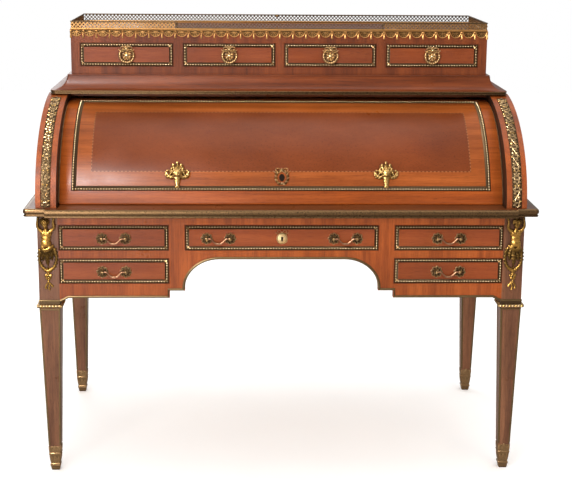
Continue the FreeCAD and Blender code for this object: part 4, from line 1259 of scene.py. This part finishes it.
def collars():
    """A torus of lapped leaves under each post, between two fillets."""
    cast = Cast()
    half = POST_WIDE / 2
    count = 8
    for x, y in post_centres():
        cast.tone = 0
        cast.rings(square_rings(x, y, [(490.0, half + 0.4), (490.6, half + 3.0), (492.4, half + 6.0),
                                       (495.6, half + 7.2), (498.8, half + 6.0), (500.8, half + 2.6),
                                       (501.2, half + 0.5)]), close_ends=False)
        cast.tone = 1
        cast.rings(square_rings(x, y, [(500.8, half + 0.9), (508.0, half + 0.7)]), close_ends=False)
        for quarter in range(4):
            face = Cast()
            for k in range(count):
                u = -half - 6 + (k + 0.5) * (half + 6) * 2 / count
                face.tone = 2 if k % 2 else 0
                face.leaf(u - 4, 492.0, 11.0, 4.6, 0.62 + rng.uniform(-0.1, 0.1), 2.4, curl=0.4, base=0.3, stations=6)
                face.dome(u + 2.4, 492.8, 1.5, 1.8, 1.8, base=0.2, sides=8)
            cast.merge(face, on_post(x, y, quarter, lambda z: half + 6.4 - abs(z - 495.6) * 0.40))
    make("collar_brass", cast, "vine bronze figure", ["leg_collars"])


def leg_fillets():
    """Thin brass along every edge of the tapered legs, closed by a cross fillet under the collar."""
    low, high = 78.0, 490.5
    foot, taper_low, taper_high = 33.0, 70.0, 491.0
    low_half = (foot + (POST_WIDE - foot) * (low - taper_low) / (taper_high - taper_low)) / 2

    def half(z):
        return low_half + (POST_WIDE / 2 - low_half) * (z - low) / (high - low)

    face = Cast()
    for side in SIDES:
        face.strip([(side * (half(z) - 2.0), z) for z in (low, (low + high) / 2, high)], 5.0, 1.5, base=-0.3)
    face.strip([(-half(485), 485.5), (half(485), 485.5)], 4.6, 1.5, base=-0.3)
    cast = Cast()
    for x, y in post_centres():
        for quarter in range(4):
            cast.merge(face, on_post(x, y, quarter, half))
    make("leg_fillets", cast, "fillet")


def apron_bead():
    """A bead that follows the lower edge of the front, over the kneehole arch."""
    cast = Cast()
    bank, stile, flat, spring, top = 314.0, 271.0, 175.0, 547.0, 630.0
    low, step = 519.0, 540.0
    wide, pitch = 7.0, 4.2
    inset = wide / 2 + 0.1
    right = [(620, 511.0), (616, 513.0), (609, 516.0), (602, 520.0), (597, 522.5), (bank + inset, low + inset),
             (bank + inset, step + inset), (stile + inset, step + inset), (stile + inset, spring)]
    for k in range(1, 17):
        a = pi / 2 * k / 16
        right.append((flat + (stile - flat + inset) * cos(a), spring + (top - spring + inset) * sin(a)))
    right.append((0, top + inset))
    for sign in SIDES:
        path = [(sign * u, v) for u, v in right]
        dense = path[:1]
        for (u0, v0), (u1, v1) in zip(path, path[1:]):
            parts = max(1, int(hypot(u1 - u0, v1 - v0) / 30))
            dense += [(u0 + (u1 - u0) * k / parts, v0 + (v1 - v0) * k / parts) for k in range(1, parts + 1)]
        cast.strip(dense, wide, 3.0)
        travelled = 0.0
        for (u0, v0), (u1, v1) in zip(dense, dense[1:]):
            span = hypot(u1 - u0, v1 - v0)
            while travelled < span:
                t = travelled / span
                cast.dome(u0 + (u1 - u0) * t, v0 + (v1 - v0) * t, 1.5, 1.5, 3.6, levels=2, sides=6)
                travelled += pitch
            travelled -= span
    whole = Cast()
    whole.merge(cast, on_front(FRONT))
    half = POST_WIDE / 2
    for x, y in post_centres():
        whole.rings(square_rings(x, y, [(508.0, half), (508.4, half + 1.6), (510.0, half + 2.3), (511.8, half + 2.3),
                                        (513.2, half + 1.6), (514.0, half)]), close_ends=False)
    make("apron_bead", whole, "fillet")


def figure_forms():
    """A cherub that holds up the slab, ending in leaves, a flower and a ribbon; across runs outward."""
    cast = Cast()
    ball = cast.ball
    ball((7, 735, 10), (10.0, 12.4, 9.4), 20, 12)
    ball((5.6, 727, 13.0), (6.6, 5.8, 6.4), 14, 8)
    ball((5.0, 731.8, 20.0), (1.7, 2.3, 2.0), 8)
    for side, ear in ((-1, -3.0), (1, 17.0)):
        ball((5.6 + side * 4.2, 729.4, 16.6), (3.0, 2.9, 2.6))
        ball((ear, 732, 9), (1.8, 3.0, 2.6), 8)
    ball((5.4, 726.6, 18.6), (2.6, 1.0, 1.2), 8)
    ball((5.4, 723.4, 16.4), (2.8, 2.0, 2.6), 8)
    for k in range(33):
        a = pi * (-0.06 + 1.12 * (k % 11) / 10)
        row = k // 11
        reach = 1.0 - 0.27 * row
        ball((7 + 11.4 * reach * cos(a), 738 + 11.0 * reach * sin(a) + rng.uniform(-0.6, 0.6), 10.5 + 3.4 * row),
             (3.1, 2.9, 3.2), 8)
    cast.tube([(6, 726, 8), (4.5, 719, 7), (4, 711, 6)], [5.4, 5.4, 8.0], sides=12)
    ball((3.5, 704, 5.0), (16.5, 12.0, 9.6), 20, 12)
    for side in SIDES:
        ball((3.5 + side * 6.6, 706, 10.6), (6.4, 5.2, 4.4), 12, 8)
        ball((4.4 + side * 9.0, 667, 8.5), (7.4, 8.0, 6.8), 12, 8)
    ball((4.2, 691, 6.0), (14.4, 12.0, 9.4), 18, 10)
    ball((4.8, 677.5, 7.0), (15.8, 12.6, 11.4), 20, 12)
    for arm in ([(14, 711, 7), (20, 715, 8), (26.5, 724, 9), (27.5, 734, 10), (26.5, 744, 10), (25, 751, 9)],
                [(-7, 711, 7), (-13, 715, 8), (-19.5, 723, 10), (-18.5, 733, 11), (-18.5, 743, 11), (-21, 751, 9)]):
        cast.tube(curve(arm, 4), [6.0, 5.9, 5.7, 5.5, 5.2, 4.9, 4.7, 4.5, 4.5, 4.5, 4.4, 4.2, 4.0, 3.8, 3.5, 3.2,
                                  3.1, 3.3, 3.9, 4.1, 3.6], sides=12)
    cast.block(-23, 29, 752, 757.6, 0.0, 9.0)
    cloth = curve([(20, 664, 5), (12, 660, 12), (2, 661, 13.5), (-8, 666, 12), (-15, 671, 6)], 5)
    cast.tube(cloth, 3.8)
    cast.tube([(u, v - 5.0, h - 1.0) for u, v, h in cloth], 3.2)
    down = -pi / 2
    for u, v, long, wide, turn, rise in ((2, 662, 50, 18, 0.0, 9.0), (11, 660, 36, 13, 0.24, 7.0),
                                         (-7, 662, 36, 13, -0.24, 7.0), (17, 658, 25, 11, 0.55, 5.5),
                                         (-14, 661, 25, 11, -0.55, 5.5)):
        cast.leaf(u, v, long, wide, down + turn, rise, curl=-turn * 0.5, base=1.0, stations=16, lobes=5)
    for out, path in ((1, [(17, 664), (23.5, 655), (25.5, 640), (24, 624), (18, 611), (9, 602), (1.5, 597)]),
                      (-1, [(-13, 667), (-20.5, 657), (-23.5, 640), (-22, 624), (-16, 610), (-7, 602), (0.5, 597)])):
        points = curve(path, 5)
        cast.tube([(u, v, 3.4) for u, v in points], 3.6)
        for (u0, v0), (u1, v1) in zip(points[3:-3:3], points[4:-2:3]):
            along = atan2(v1 - v0, u1 - u0)
            cast.leaf(u0, v0, 9.0, 5.2, along + 0.55 * out, 5.6, curl=0.4 * out, base=1.6, stations=6)
            cast.leaf(u0, v0, 8.0, 4.4, along - 0.5 * out, 5.0, curl=-0.4 * out, base=1.4, stations=6)
        u, v = path[0]
        ball((u, v, 5), (5.0, 5.0, 4.4), 12, 8)
        ball((u + out, v - 0.5, 9), (2.2, 2.2, 2.0))
    for v, wide in ((640, 7.0), (630, 6.0), (621, 5.0), (613, 4.2)):
        cast.leaf(1, v, 11, wide, down, 6.5, base=1.0, stations=7)
    ball((1, 598, 3.5), (6.2, 4.6, 4.6), 12, 8)
    for (u, v, turn), tip in zip(fan(1, 582, 1.6, 5, start=pi / 2), fan(1, 582, 8.4, 5, start=pi / 2)):
        cast.leaf(u, v, 10.5, 9.5, turn, 5.6, base=0.8, stations=9)
        ball((*tip[:2], 4.4), (2.6, 2.6, 1.6), 8)
    for place in circle(1, 582, 3.6, 10):
        ball((*place, 5.6), (1.3, 1.3, 1.5), 8, 5)
    cast.tube([(1, 573, 2.5), (1, 564, 3.5)], [3.4, 2.6])
    ball((1, 567, 4), (3.6, 3.0, 3.4))
    for path in ([(1, 567), (6, 560), (9.5, 552), (8, 546)], [(1, 567), (-4, 561), (-8.5, 556), (-11, 551)],
                 [(1, 566), (-1, 558), (0.5, 550), (-1.5, 542)]):
        points = curve(path, 5)
        cast.strip(points, 7.0, 4.6, [0.6 + 0.6 * k / len(points) for k in range(len(points))], base=0.4)
    return cast


def figures():
    """The cast cherubs on the two front posts, mirrored to each other."""
    form = fuse(figure_forms(), 0.62, 2)
    both = Cast()
    for sign in SIDES:
        both.merge(form, lambda u, v, h: (sign * (POST_MID + u * 0.96), FRONT - h * 0.82, v))
    make("cherubs", both, "gold", ["caryatid_mounts"], sharp=60)


# ------------------------------------------------------------------ materials by node

METALS = "brass bronze bright"
# Colour, roughness, reach of the painted hollow shade, and the painted brightness (light and shade) at some heights in
# metres.
BRASSES = {
    "brass": ("gilt_brass", (0.32, 0.190, 0.080), 0.27),
    # The cherubs are painted darker over the hanging leaves and towards the head under the slab.
    "gold": ("gilt_figures", (0.43, 0.225, 0.050), 0.22, 0.018,
             [(0.546, 0.80), (0.575, 0.75), (0.60, 0.80), (0.625, 0.30), (0.655, 0.26),
              (0.672, 1.0), (0.712, 1.0), (0.724, 0.55), (0.75, 0.42)]),
    "figure": ("gilt_knobs", (0.46, 0.275, 0.092), 0.24, 0.014),
    "vine": ("worn_vines", (0.36, 0.235, 0.115), 0.25, 0.004),
    "bright": ("rubbed_gilt", (0.95, 0.70, 0.38), 0.30, 0.003),
    "bronze": ("dark_bronze", (0.085, 0.050, 0.024), 0.38),
    "drapery": ("gilt_drapery", (0.53, 0.265, 0.085), 0.28, 0.004),
    "lattice": ("gilt_lattice", (0.33, 0.17, 0.060), 0.30),
    "fillet": ("dull_fillets", (0.150, 0.095, 0.042), 0.36),
    "edge": ("worn_edging", (0.140, 0.078, 0.034), 0.24),
    "copper": ("rubbed_handles", (0.30, 0.150, 0.080), 0.30),
    "sabot": ("worn_sabots", (0.30, 0.178, 0.082), 0.28),
}
WOODS = {
    "case_z": ("veneer_upright", "z", VENEER), "leg": ("leg_mahogany", "z", LEG), "cove": ("veneer_cove", "x", GRADIN),
    "table": ("veneer_table", "x", TABLE), "lining": ("lining_oak", "x", OAK, 0.5, 0.02),
}
NODE_MATERIALS = {
    "front_apron": "case_z", "knee_spandrels": "case_z", "upper_case": "gradin", "carcass_panels": "case_z",
    "cheek_left": "cheek", "cheek_right": "cheek", "cornice": "cove", "top_margins": "table",
    "writing_slide": "table", "slide_leather": "leather", "drawer_partitions": "lining",
    "interior_fitment": "lining", "cylinder_runners": "lining", "cylinder_lid": "lid",
}


def make_materials():
    for make_one, table in ((veneer, WOODS), (gilt_brass, BRASSES)):
        MATERIALS.update((key, make_one(*settings)) for key, settings in table.items())
    MATERIALS["cheek"] = cheek_wood(POST_IN)
    MATERIALS["gradin"] = gradin_wood(CASE_HIGH)
    MATERIALS["lid"] = lid_veneer(2.2)
    MATERIALS["leather"] = leather(box_mm("slide_leather"))
    MATERIALS["front_drawer"] = drawer_wood("drawer_wood_0", FRONT, 20.0)
    MATERIALS["case_drawer"] = drawer_wood("drawer_wood_1", CASE_FRONT, 20.0)
    # Painted shade for the keyholes and the escutcheon's middle: a near-black mottled material.
    shadow = Graph("lock_shadow")
    shadow_mottle = shadow.noise(shadow.place(), scale=300.0)
    tone = shadow.ramp(shadow_mottle, [(0.3, (0.010, 0.007, 0.005)), (0.7, (0.022, 0.014, 0.010))])
    MATERIALS["shadow"] = shadow.finish(Base_Color=tone, Roughness=0.8, Specular_IOR_Level=0.02)


def dress_nodes():
    """Give every CAD node its material."""
    for name, node in frame["nodes"].items():
        if name.startswith("leg_") and not name.endswith(("sabots", "collars")):
            key = "leg"
        elif name.startswith("inner_drawer"):
            key = "lining"
        elif name.startswith(("drawer_", "small_drawer_")) and not name.endswith(("_mounts", "partitions")):
            key = "case_drawer" if name.startswith("small") else "front_drawer"
        else:
            key = NODE_MATERIALS.get(name, "brass")
        node.data.materials.clear()
        node.data.materials.append(MATERIALS[key])


make_stage()
make_lights()
make_camera()
make_materials()
dress_nodes()
drawer_brass()
small_drawer_brass()
lid_panel()
lid_brass()
top_edging()
cornice_piece()
vines()
frieze()
gallery_piece()
sabots()
collars()
leg_fillets()
apron_bead()
figures()
